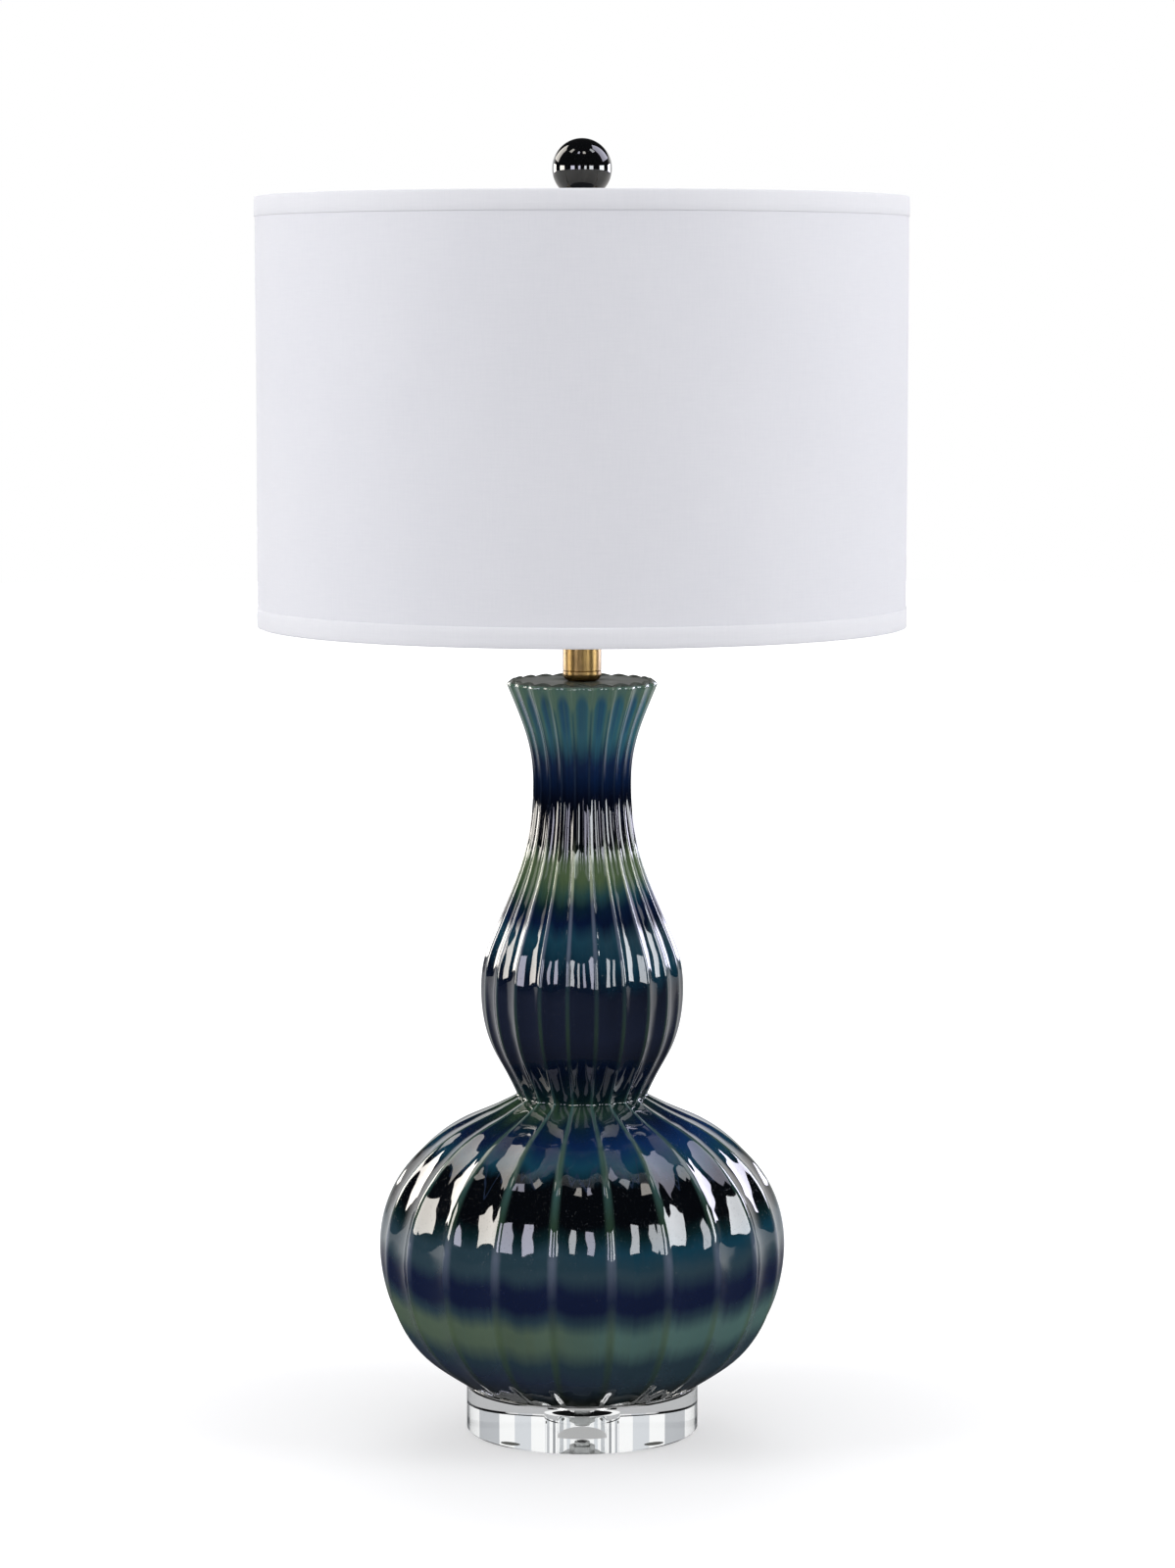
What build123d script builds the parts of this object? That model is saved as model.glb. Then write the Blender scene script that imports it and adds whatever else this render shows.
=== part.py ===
"""Double gourd table lamp: fluted ceramic body on a clear disc base, with a drum shade on a harp.

Millimetres, +Z up, front towards -Y. The origin is the centre of the underside, where the
lamp stands. Every piece is written as its own solid, at its own place in the lamp.
"""
from build123d import *
import os
from math import atan2, cos, hypot, pi, sin, sqrt

os.makedirs("parts", exist_ok=True)

# ---- overall sizes -----------------------------------------------------------------------
FOOT_RADIUS = 73.5          # ceramic, at the ridges
BASE_MARGIN = 0.1           # clear disc beyond the foot
BASE_HEIGHT = 28.8
BASE_CHAMFER = 0.8
BUMPER_RADIUS = 6.35        # soft feet under the disc
BUMPER_HEIGHT = 1.6
BUMPER_INSET = 15.6         # disc's edge to the middle of each soft foot
BUMPER_COUNT = 4
BUMPER_ROUND = 0.4          # of a soft foot's height that its lower edge's rounding takes
GASKET_THICK = 0.6          # between the disc and the ceramic
GASKET_INSET = 2.9          # ceramic's foot to the gasket's edge
GASKET_WIDTH = 14.0

SHADE_RADIUS = 203.3        # outside the hem tape
SHADE_HEIGHT = 266.4
SHADE_RECESS = 11.7         # from the top rim down to the washer's upper face
HARP_HEIGHT = 254.0         # saddle's underside to the shoulder that the shade rests on
HARP_HALF_WIDTH = 57.0      # wire centre line at the widest

# ---- ceramic body ------------------------------------------------------------------------
# The ceramic is one fired piece. It is modelled as three shells that meet face to face, at the
# waist and at the narrowest part of the neck.
FLUTES = 22
FLUTE_PITCH = 2 * pi / FLUTES
RIDGE_SHARE = 0.16          # of the pitch that the rounded ridge takes
RIDGE_FLANK = 0.3           # of the flute's depth where the ridge meets the scoop
FLUTE_DEPTH = 0.9           # least depth of a flute, and its growth with the radius
FLUTE_GROWTH = 0.024
FOOT_DEPTH_SHARE = 0.04     # of that depth left at the foot itself
WALL = 6.0                  # behind the deepest part of a flute
FLOOR_THICK = 7.0
PLATE_THICK = 7.0
BODY_HEIGHT = 448.4         # foot to top plate
WAIST_HEIGHT = 185.0        # foot to the crease between the two bulbs
NECK_HEIGHT = 377.0         # foot to the narrowest part of the neck
LIP_DROP = 2.2              # ridge tips below the top plate
LIP_RADIUS = 47.4
PLATE_RADIUS = 45.0
WAIST_RADIUS = 41.0
CAVITY_ROUND = 4.0          # height of the rounding at the ends of the cavity
FOOT_ARCH = 19.0            # height over which the flutes run out above the foot
# Ridge radius at each height above the foot, as shares of the bulb's own height, and mm.
LOWER_BULB = [(0.0, FOOT_RADIUS), (0.05, 87.6), (0.104, 100.6), (0.236, 118.8), (0.374, 127.0),
              (0.543, 128.1), (0.703, 118.1), (0.829, 98.4), (0.905, 77.7), (0.958, 56.0),
              (1.0, WAIST_RADIUS)]
UPPER_BULB = [(0.0, WAIST_RADIUS), (0.055, 48.1), (0.12, 57.2), (0.19, 62.6), (0.26, 64.1), (0.336, 61.9),
              (0.405, 55.2), (0.482, 46.6), (0.558, 38.9), (0.642, 33.4), (0.734, 31.0),
              (0.818, 31.8), (0.887, 35.9), (0.945, 41.5), (1.0, LIP_RADIUS)]

# ---- lamp pipe, nuts and washers -----------------------------------------------------------
PIPE_RADIUS = 4.85          # 1/8 IP lamp pipe
PIPE_BORE = 3.2
PIPE_GAP = 0.5              # round the pipe in everything it passes through
NUT_FLATS = 14.3
NUT_HEIGHT = 4.8
WASHER_RADIUS = 12.7
WASHER_THICK = 1.6
BASE_POCKET_RADIUS = 16.0   # pocket under the disc for the nut
BASE_POCKET_DEPTH = 14.0
PIPE_PROUD = 2.2            # pipe end beyond the nut

# ---- cord outlet ---------------------------------------------------------------------------
OUTLET_HEIGHT = 32.0        # above the foot, at the back
OUTLET_BORE = 4.0
BUSHING_WALL = 1.5
BUSHING_FLANGE = 2.5        # flange beyond the sleeve
BUSHING_FLANGE_THICK = 2.0
BUSHING_SLEEVE = 9.0
BUSHING_EDGE = 0.8
BUSHING_GAP = 0.2
SPOT_FACE_DEPTH = 1.0

# ---- neck ----------------------------------------------------------------------------------
NECK_RADIUS = 12.1
NECK_WALL = 1.2
COLLAR_HEIGHT = 6.5
COLLAR_ROUND = 4.5
NECK_TUBE_HEIGHT = 25.1
JOINT_GROOVE = 0.35         # chamfer on each edge of the joint between collar and tube
CAP_RING_LEDGE = 1.1        # cap ring beyond the neck tube
CAP_RING_THICK = 2.5

# ---- harp and its saddle ---------------------------------------------------------------------
STRIP_THICK = 1.5
STRIP_MARGIN = 0.65         # strip left on each side of the pipe's hole
TANG_WIDTH = 4.0
TANG_LENGTH = 15.0
EAR_HEIGHT = 18.5           # saddle's underside to the shoulder under the ferrule
LEG_HALF_SPAN = 28.65       # leg centre line in the ferrule
SADDLE_BEND = 4.0
HARP_WIRE = 1.6             # wire radius
TANG_GAP = 0.3              # between the leg's flat end and the saddle's tang
LAP_GAP = 1.0               # above the shoulder and under the round part of the leg
ROOT_WIDTH = 2.4            # neck between the flat end and the round leg
ROOT_OFFSET = 0.4
FERRULE_TRAVEL = 15.0
LEG_MARGIN = 7.5            # straight leg left above the raised ferrule
LEG_SPREAD_RISE = 36.0      # height over which the leg moves out to full width
LEG_BEND = 18.0
FERRULE_CLEARANCE = 0.35    # round the corners of the tang and the leg's flat end
FERRULE_WALL = 0.8
FERRULE_EDGE = 0.35
FERRULE_SEAT = 0.3
ARCH_MARGIN = 0.1           # half width less the radius of the harp's top corners
STUD_RADIUS = 3.1           # 1/4-27 stud
STUD_LENGTH = 12.5
STUD_FLANGE_RADIUS = 5.5
STUD_FLANGE_THICK = 1.5
RIVET_RADIUS = 2.1
RIVET_HEAD_RADIUS = 3.6
RIVET_HEAD_THICK = 1.0
HARP_EYE_RADIUS = 6.2
RIVET_GAP = 0.05
STUD_POINT = 0.6            # bevel at the stud's end

# ---- socket ------------------------------------------------------------------------------------
BOSS_RADIUS = 7.6
BOSS_HEIGHT = 6.0
CAP_DOME_HEIGHT = 10.0
CAP_LIP_HEIGHT = 6.0
CAP_KNEE_OUT = 0.62         # knee of the dome, as shares of its width and of its height
CAP_KNEE_UP = 0.3
CAP_SHOULDER_UP = 0.85      # where the dome turns upright, as a share of its height
CAP_SEAT_WIDTH = 1.4        # ledge that the shell stands on
CAP_SCREW_RADIUS = 2.4
CAP_SCREW_HEAD = 1.8
SHEET_WALL = 0.8
SHELL_WALL = 0.6
SHELL_HEIGHT = 42.0
LINER_WALL = 0.6
LINER_GAP = 0.2
LINER_SHORT = 1.0           # paper liner below the shell's rim
BLOCK_CLEARANCE = 0.6       # between the paper liner and the switch block
SWITCH_BLOCK_HEIGHT = 20.0
SHAFT_START = 4.0           # in front of the axis, where the shaft's bore ends
WIRE_WAY = (6.0, 3.0)       # slot for the wires behind the axis
WIRE_WAY_BACK = 9.5         # axis to the slot's middle
BLOCK_FLAT_CUT = 2.0        # depth of the side recesses for the terminal screws
BLOCK_FLAT_SHORT = 8.0      # block's height less the recess's
SCREW_SHELL_CLEARANCE = 0.35  # round the bulb's cap
SCREW_SHELL_GAP = 1.05      # between the screw shell and the paper liner
SCREW_SHELL_WALL = 0.4
SCREW_SHELL_HEIGHT = 20.0
TERMINAL_RADIUS = 2.4
TERMINAL_HEAD = 1.6
TERMINAL_SLOT = (1.2, 0.7)  # depth counted from both sides of the head's face, and width
CONTACT_WIDTH = 4.0
CONTACT_THICK = 0.4
CONTACT_RISE = 1.4
CONTACT_FOOT = -5.0         # middle of the contact's foot, left of the axis
CONTACT_FOOT_LENGTH = 4.0
CONTACT_REACH = 1.4         # contact past the axis
SHAFT_RADIUS = 1.6
SHAFT_CLEARANCE = 0.05
SHAFT_REACH = 22.0          # beyond the socket shell
KNOB_RADIUS = 6.2
KNOB_LENGTH = 13.0
KNOB_GRIPS = 12
KNOB_GRIP_RADIUS = 0.7
KNOB_EDGE = 0.6
SHELL_HOLE = 3.2

# ---- bulb --------------------------------------------------------------------------------------
BULB_RADIUS = 30.0
BULB_LENGTH = 108.0
BULB_CAP_RADIUS = 13.0
BULB_CAP_HEIGHT = 21.0
BULB_TIP_HEIGHT = 3.0
BULB_TIP_RADIUS = 4.8
TIP_FLAT = 0.7              # of the tip's radius that its flat end takes
TIP_CONE_RISE = 0.8
TIP_BAND = 0.6              # upright band above the cone
TIP_COLLAR = 2.2            # insulator beyond the tip's radius
CAP_END_MARGIN = 2.5        # flat end of the screw cap beyond the tip's radius
CAP_TAPER = 1.0             # in from the cap's radius at the end of the cone, and its two heights
CAP_TAPER_LOW = 3.5
CAP_TAPER_HIGH = 4.5
HOUSING_HEIGHT = 32.0
HOUSING_WAIST = 1.4         # how far the housing's side is drawn in at its middle
DIFFUSER_WALL = 1.2
BOARD_THICK = 1.6
BOARD_MARGIN = 4.8          # board's edge to the diffuser's outside
BULB_CLEARANCE = 0.3        # bulb's tip above the contact

# ---- shade -----------------------------------------------------------------------------------------
TAPE_THICK = 0.4
TAPE_OUTER_LEG = 12.5
TAPE_INNER_LEG = 7.6
TAPE_RING_GAP = 0.3         # tape's inner leg clear of the rings
FABRIC_THICK = 0.5
LINER_THICK = 0.6
SKIN_GAP = 0.1              # glue line between the skins
RING_WIRE = 1.5
RING_DROP = 3.0             # ring's centre line from the rim
WASHER_HUB_RADIUS = 13.0
HUB_THICK = 1.5
STUD_CLEARANCE = 0.4
SPIDER_ARMS = 3
ARM_WIRE = 1.3
ARM_BEND = 4.0

# ---- finial --------------------------------------------------------------------------------------------
BALL_RADIUS = 18.7
FINIAL_NECK_RADIUS = 6.5
FINIAL_ROOF = 0.5           # metal left above the stud's bore
STUD_END_GAP = 0.7          # stud's end to the end of the bore
FINIAL_FOOT_RADIUS = 8.0
FINIAL_FOOT_EDGE = 0.6
FINIAL_FOOT_HEIGHT = 2.0
FINIAL_FOOT_TAPER = 1.0
BALL_SEAT = 1.0             # flat under the ball beyond the neck
FINIAL_GAP = 0.2
THREAD_CLEARANCE = 0.2

# ---- heights worked out from the sizes above -----------------------------------------------------------
base_z = BUMPER_HEIGHT
base_top = base_z + BASE_HEIGHT
foot_z = base_top + GASKET_THICK
waist_z = foot_z + WAIST_HEIGHT
plate_z = foot_z + BODY_HEIGHT
lip_z = plate_z - LIP_DROP
pocket_z = base_z + BASE_POCKET_DEPTH
washer_z = pocket_z - WASHER_THICK
nut_z = washer_z - NUT_HEIGHT
pipe_z = nut_z - PIPE_PROUD
collar_top = plate_z + COLLAR_HEIGHT
neck_top = collar_top + NECK_TUBE_HEIGHT
saddle_z = neck_top + CAP_RING_THICK
shoulder_z = saddle_z + EAR_HEIGHT
saddle_nut_z = saddle_z + STRIP_THICK
cap_z = saddle_nut_z + NUT_HEIGHT
dome_z = cap_z + BOSS_HEIGHT
lip_seat_z = dome_z + CAP_DOME_HEIGHT
block_z = lip_seat_z
screw_shell_z = block_z + SWITCH_BLOCK_HEIGHT
bulb_z = screw_shell_z + CONTACT_RISE + BULB_CLEARANCE
shaft_z = block_z + 0.5 * SWITCH_BLOCK_HEIGHT
hub_z = saddle_z + HARP_HEIGHT
wire_z = hub_z - STUD_FLANGE_THICK - HARP_WIRE
shade_top = hub_z + HUB_THICK + SHADE_RECESS
shade_bottom = shade_top - SHADE_HEIGHT
ball_seat_z = hub_z + STUD_LENGTH + STUD_END_GAP + FINIAL_ROOF

# ---- sizes worked out from the sizes above ---------------------------------------------------------------
base_radius = FOOT_RADIUS + BASE_MARGIN
bumper_circle = base_radius - BUMPER_INSET
gasket_radius = FOOT_RADIUS - GASKET_INSET
pipe_hole = PIPE_RADIUS + PIPE_GAP
strip_width = 2 * (pipe_hole + STRIP_MARGIN)
bushing_radius = OUTLET_BORE + BUSHING_WALL
flange_radius = bushing_radius + BUSHING_FLANGE
screw_shell_bore = BULB_CAP_RADIUS + SCREW_SHELL_CLEARANCE
liner_inner = screw_shell_bore + SCREW_SHELL_WALL + SCREW_SHELL_GAP
block_radius = liner_inner - BLOCK_CLEARANCE
shell_radius = liner_inner + LINER_WALL + LINER_GAP + SHELL_WALL
ferrule_bore = hypot(TANG_GAP / 2 + STRIP_THICK, TANG_WIDTH / 2) + FERRULE_CLEARANCE


def tube(outer, inner, z, height):
    """A plain round tube standing on height z."""
    ring = Circle(outer) - Circle(inner)
    return extrude(Pos(0, 0, z) * ring, height)


def disc(radius, z, height):
    return extrude(Pos(0, 0, z) * Circle(radius), height)


def turned(points):
    """A body of revolution round Z from (radius, height) points."""
    profile = make_face(Polyline(*[(r, 0, z) for r, z in points], close=True))
    return revolve(profile, Axis.Z)


def hex_nut(z, height):
    nut = RegularPolygon(NUT_FLATS / 2, 6, major_radius=False) - Circle(pipe_hole)
    return extrude(Pos(0, 0, z) * nut, height)


def outline_at(points, low_z, height, z):
    """Ridge radius at height z, along a smooth line through a bulb's outline points."""
    line = Spline(*[(r, low_z + share * height) for share, r in points])
    low, high = 0.0, 1.0
    for _ in range(40):
        middle = (low + high) / 2
        if line.position_at(middle).Y < z:
            low = middle
        else:
            high = middle
    return line.position_at(low).X


def flute_depth(radius, z):
    """Depth of a flute below its ridges: it follows the girth and runs out at the foot."""
    run_out = min(1.0, FOOT_DEPTH_SHARE + (z - foot_z) / FOOT_ARCH)
    return (FLUTE_DEPTH + FLUTE_GROWTH * radius) * run_out


def fluted_wire(radius, z):
    """One section of the body: a shallow scoop and a rounded ridge, repeated all round."""
    depth = flute_depth(radius, z)
    flank = radius - RIDGE_FLANK * depth
    half_scoop = 0.5 * FLUTE_PITCH * (1 - RIDGE_SHARE)
    edges = []
    for n in range(FLUTES):
        middle = n * FLUTE_PITCH - pi / 2
        crest = middle + FLUTE_PITCH / 2

        def point(angle, r):
            return (r * cos(angle), r * sin(angle), z)

        end = point(middle + half_scoop, flank)
        start = point(middle - half_scoop, flank)
        following = point(middle + FLUTE_PITCH - half_scoop, flank)
        edges.append(ThreePointArc(start, point(middle, radius - depth), end))
        edges.append(ThreePointArc(end, point(crest, radius), following))
    return Wire(edges)


def outer_bulb(points, low_z, height):
    wires = [fluted_wire(r, low_z + share * height) for share, r in points]
    return Solid.make_loft(wires)


def inner_line(points, low_z, height):
    """Inner wall of one bulb: each outline point brought in by the flute and the wall."""
    line = []
    for share, r in points:
        z = low_z + share * height
        line.append((r - flute_depth(r, z) - WALL, z))
    return line


def gourd_hollow():
    """Space inside the ceramic, from its floor to its top plate, with the way for the pipe."""
    low_z = foot_z + FLOOR_THICK
    high_z = plate_z - PLATE_THICK
    low = [p for p in inner_line(LOWER_BULB, foot_z, WAIST_HEIGHT) if p[1] > low_z + CAVITY_ROUND]
    high = [p for p in inner_line(UPPER_BULB, waist_z, lip_z - waist_z) if p[1] < high_z - CAVITY_ROUND]
    low_radius = outline_at(LOWER_BULB, foot_z, WAIST_HEIGHT, low_z) - 3 * WALL
    high_radius = LIP_RADIUS - 2 * WALL
    side = Spline(*[(r, 0, z) for r, z in [(low_radius, low_z)] + low + high[1:] + [(high_radius, high_z)]])
    ends = Polyline((high_radius, 0, high_z), (0, 0, high_z), (0, 0, low_z), (low_radius, 0, low_z))
    return revolve(make_face([side, ends]), Axis.Z) + disc(pipe_hole, foot_z - 1, BODY_HEIGHT + 2)


def gourd_lower():
    """The ceramic up to the waist, with the hole and spot face for the bush at the back."""
    outlet = outlet_plane()
    hole = extrude(outlet * Circle(bushing_radius + BUSHING_GAP), -3 * WALL)
    spot = extrude(outlet * Circle(flange_radius + BUSHING_GAP), 3 * WALL)
    return outer_bulb(LOWER_BULB, foot_z, WAIST_HEIGHT) - gourd_hollow() - hole - spot


def gourd_above_waist():
    lip = Solid.make_loft([fluted_wire(LIP_RADIUS, lip_z), fluted_wire(PLATE_RADIUS, plate_z)], ruled=True)
    return outer_bulb(UPPER_BULB, waist_z, lip_z - waist_z).fuse(lip) - gourd_hollow()


def gourd_upper():
    """The ceramic from the waist to the narrowest part of the neck."""
    return gourd_above_waist() - disc(2 * LIP_RADIUS, foot_z + NECK_HEIGHT, BODY_HEIGHT)


def gourd_neck():
    """The ceramic above that, with the flared lip and the flat top plate."""
    return gourd_above_waist() & disc(2 * LIP_RADIUS, foot_z + NECK_HEIGHT, BODY_HEIGHT)


def outlet_plane():
    """Plane of the spot face round the cord outlet, at the back, looking out and down."""
    z = foot_z + OUTLET_HEIGHT
    step = 2.0
    above = outline_at(LOWER_BULB, foot_z, WAIST_HEIGHT, z + step)
    below = outline_at(LOWER_BULB, foot_z, WAIST_HEIGHT, z - step)
    here = outline_at(LOWER_BULB, foot_z, WAIST_HEIGHT, z)
    slope = atan2(above - below, 2 * step)
    outward = Vector(0, cos(slope), -sin(slope))
    face_point = Vector(0, here - flute_depth(here, z), z) - outward * SPOT_FACE_DEPTH
    return Plane(origin=face_point, x_dir=(1, 0, 0), z_dir=outward)


def cord_bushing():
    """Flanged bush in the ceramic that the cord would come out of."""
    flange = tube(flange_radius, OUTLET_BORE, 0, BUSHING_FLANGE_THICK)
    front_edges = flange.edges().filter_by(GeomType.CIRCLE).sort_by(Axis.Z)[-2:]
    flange = fillet(front_edges.sort_by(SortBy.LENGTH)[-1], BUSHING_EDGE)
    sleeve = tube(bushing_radius, OUTLET_BORE, -BUSHING_SLEEVE, BUSHING_SLEEVE)
    return outlet_plane().location * (flange + sleeve)


def bumpers():
    feet = []
    for n in range(BUMPER_COUNT):
        angle = pi / 4 + n * 2 * pi / BUMPER_COUNT
        centre = Pos(bumper_circle * cos(angle), bumper_circle * sin(angle), 0)
        foot = centre * disc(BUMPER_RADIUS, 0, BUMPER_HEIGHT)
        low_edge = foot.edges().sort_by(Axis.Z)[0]
        feet.append(fillet(low_edge, BUMPER_ROUND * BUMPER_HEIGHT))
    return Compound(feet)


def clear_base():
    slab = chamfer(disc(base_radius, base_z, BASE_HEIGHT).edges().filter_by(GeomType.CIRCLE), BASE_CHAMFER)
    pocket = disc(BASE_POCKET_RADIUS, base_z - 1, BASE_POCKET_DEPTH + 1)
    return slab - pocket - disc(pipe_hole, base_z, BASE_HEIGHT + 1)


def neck_collar():
    body = disc(NECK_RADIUS, plate_z, COLLAR_HEIGHT)
    body = fillet(body.edges().filter_by(GeomType.CIRCLE).sort_by(Axis.Z)[0], COLLAR_ROUND)
    body = chamfer(body.edges().filter_by(GeomType.CIRCLE).sort_by(Axis.Z)[-1], JOINT_GROOVE)
    return body - disc(pipe_hole, plate_z - 1, COLLAR_HEIGHT + 2)


def neck_tube():
    body = disc(NECK_RADIUS, collar_top, NECK_TUBE_HEIGHT)
    body = chamfer(body.edges().filter_by(GeomType.CIRCLE), JOINT_GROOVE)
    return body - disc(NECK_RADIUS - NECK_WALL, collar_top - 1, NECK_TUBE_HEIGHT + 2)


def harp_saddle():
    """Bent strip under the socket, with a tang on each ear that the ferrules grip."""
    half = LEG_HALF_SPAN - TANG_GAP / 2
    top = shoulder_z + TANG_LENGTH
    path = FilletPolyline((-half + STRIP_THICK / 2, 0, top), (-half + STRIP_THICK / 2, 0, saddle_z + STRIP_THICK / 2),
                          (half - STRIP_THICK / 2, 0, saddle_z + STRIP_THICK / 2),
                          (half - STRIP_THICK / 2, 0, top), radius=SADDLE_BEND)
    section = Plane(origin=(-half + STRIP_THICK / 2, 0, top), z_dir=(0, 0, -1)) * Rectangle(STRIP_THICK, strip_width)
    strip = sweep(section, path=path)
    trim_width = (strip_width - TANG_WIDTH) / 2
    for side in (-1, 1):
        y = side * (TANG_WIDTH + trim_width) / 2
        cut = Pos(0, y, shoulder_z + TANG_LENGTH) * Box(4 * half, trim_width, 2 * TANG_LENGTH)
        strip = strip - cut
    return strip - disc(pipe_hole, saddle_z - 1, 2 * STRIP_THICK + 1)


def harp_wire():
    """Round wire loop with flat leg ends and an eye for the stud at the top."""
    span = LEG_HALF_SPAN
    wide = HARP_HALF_WIDTH
    leg_z = shoulder_z + TANG_LENGTH
    bend_z = leg_z + FERRULE_TRAVEL + LEG_MARGIN
    wide_z = bend_z + LEG_SPREAD_RISE
    arch = wide - ARCH_MARGIN
    path = FilletPolyline((-span, 0, leg_z), (-span, 0, bend_z), (-wide, 0, wide_z), (-wide, 0, wire_z),
                          (wide, 0, wire_z), (wide, 0, wide_z), (span, 0, bend_z), (span, 0, leg_z),
                          radius=[LEG_BEND, LEG_BEND, arch, arch, LEG_BEND, LEG_BEND])
    section = Plane(origin=(-span, 0, leg_z), z_dir=(0, 0, 1)) * Circle(HARP_WIRE)
    wire = sweep(section, path=path)
    eye = disc(HARP_EYE_RADIUS, wire_z - HARP_WIRE, 2 * HARP_WIRE)
    wire = wire + eye - disc(RIVET_RADIUS + RIVET_GAP, wire_z - 2 * HARP_WIRE, 4 * HARP_WIRE)
    wire = wire - disc(HARP_EYE_RADIUS, wire_z - 3 * HARP_WIRE, 2 * HARP_WIRE)
    for side in (-1, 1):
        x = side * (span + TANG_GAP / 2 + STRIP_THICK / 2)
        flat = Pos(x, 0, leg_z - TANG_LENGTH / 2 + LAP_GAP / 2) * Box(STRIP_THICK, TANG_WIDTH, TANG_LENGTH - LAP_GAP)
        root = Pos(side * (span + ROOT_OFFSET), 0, leg_z + LAP_GAP / 2) * Box(ROOT_WIDTH, ROOT_WIDTH, LAP_GAP)
        wire = wire + flat + root
    return wire


def harp_stud():
    body = turned([(0, wire_z - HARP_WIRE - RIVET_HEAD_THICK), (RIVET_HEAD_RADIUS, wire_z - HARP_WIRE - RIVET_HEAD_THICK),
                   (RIVET_HEAD_RADIUS, wire_z - HARP_WIRE), (RIVET_RADIUS, wire_z - HARP_WIRE),
                   (RIVET_RADIUS, wire_z + HARP_WIRE), (STUD_FLANGE_RADIUS, wire_z + HARP_WIRE),
                   (STUD_FLANGE_RADIUS, hub_z), (STUD_RADIUS, hub_z), (STUD_RADIUS, hub_z + STUD_LENGTH - STUD_POINT),
                   (STUD_RADIUS - STUD_POINT, hub_z + STUD_LENGTH), (0, hub_z + STUD_LENGTH)])
    return body


def ferrule(side):
    z = shoulder_z + FERRULE_SEAT
    outer = ferrule_bore + FERRULE_WALL
    sleeve = tube(outer, ferrule_bore, z, TANG_LENGTH - LAP_GAP)
    edges = sleeve.edges().filter_by(GeomType.CIRCLE).filter_by(lambda e: abs(e.radius - outer) < 0.01)
    return Pos(side * LEG_HALF_SPAN, 0, 0) * fillet(edges, FERRULE_EDGE)


def socket_cap():
    outer, inner = shell_radius + LINER_GAP + SHEET_WALL, shell_radius + LINER_GAP
    lip_top = lip_seat_z + CAP_LIP_HEIGHT
    return turned([(pipe_hole, cap_z), (BOSS_RADIUS, cap_z), (BOSS_RADIUS, dome_z),
                   (BOSS_RADIUS + CAP_KNEE_OUT * (outer - BOSS_RADIUS), dome_z + CAP_KNEE_UP * CAP_DOME_HEIGHT),
                   (outer, dome_z + CAP_SHOULDER_UP * CAP_DOME_HEIGHT), (outer, lip_top), (inner, lip_top),
                   (inner, lip_seat_z), (inner - CAP_SEAT_WIDTH, lip_seat_z), (BOSS_RADIUS, dome_z + SHEET_WALL),
                   (pipe_hole, dome_z + SHEET_WALL)])


def cap_screw():
    """Set screw through the boss of the socket cap."""
    axis = Plane(origin=(0, BOSS_RADIUS, cap_z + BOSS_HEIGHT / 2), z_dir=(0, 1, 0))
    return extrude(axis * Circle(CAP_SCREW_RADIUS), CAP_SCREW_HEAD)


def socket_shell():
    shell = tube(shell_radius, shell_radius - SHELL_WALL, lip_seat_z, SHELL_HEIGHT)
    return shell - switch_bore(SHELL_HOLE)


def socket_liner():
    outer = shell_radius - SHELL_WALL - LINER_GAP
    liner = tube(outer, outer - LINER_WALL, lip_seat_z, SHELL_HEIGHT - LINER_SHORT)
    return liner - switch_bore(SHELL_HOLE)


def switch_bore(radius):
    """Radial hole for the switch shaft, open towards the front."""
    axis = Plane(origin=(0, 0, shaft_z), z_dir=(0, -1, 0))
    return extrude(axis * Circle(radius), 3 * shell_radius)


def switch_block():
    block = disc(block_radius, block_z, SWITCH_BLOCK_HEIGHT)
    axis = Plane(origin=(0, -SHAFT_START, shaft_z), z_dir=(0, -1, 0))
    bore = extrude(axis * Circle(SHAFT_RADIUS + SHAFT_CLEARANCE), block_radius)
    wire_ways = [Pos(0, WIRE_WAY_BACK, block_z + SWITCH_BLOCK_HEIGHT / 2) * Box(*WIRE_WAY, 3 * SWITCH_BLOCK_HEIGHT)]
    flat = Box(2 * block_radius, 4 * block_radius, SWITCH_BLOCK_HEIGHT - BLOCK_FLAT_SHORT)
    flats = [Pos(side * (2 * block_radius - BLOCK_FLAT_CUT), 0, shaft_z) * flat for side in (-1, 1)]
    return block - bore - wire_ways - flats


def terminal_screws():
    screws = []
    for side in (-1, 1):
        seat = block_radius - BLOCK_FLAT_CUT
        axis = Plane(origin=(side * seat, 0, shaft_z), z_dir=(side, 0, 0))
        head = extrude(axis * Circle(TERMINAL_RADIUS), TERMINAL_HEAD)
        slot = Pos(side * (seat + TERMINAL_HEAD), 0, shaft_z) * Box(*TERMINAL_SLOT, 3 * TERMINAL_RADIUS)
        screws.append(head - slot)
    return Compound(screws)


def screw_shell():
    return tube(screw_shell_bore + SCREW_SHELL_WALL, screw_shell_bore, screw_shell_z, SCREW_SHELL_HEIGHT)


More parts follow.
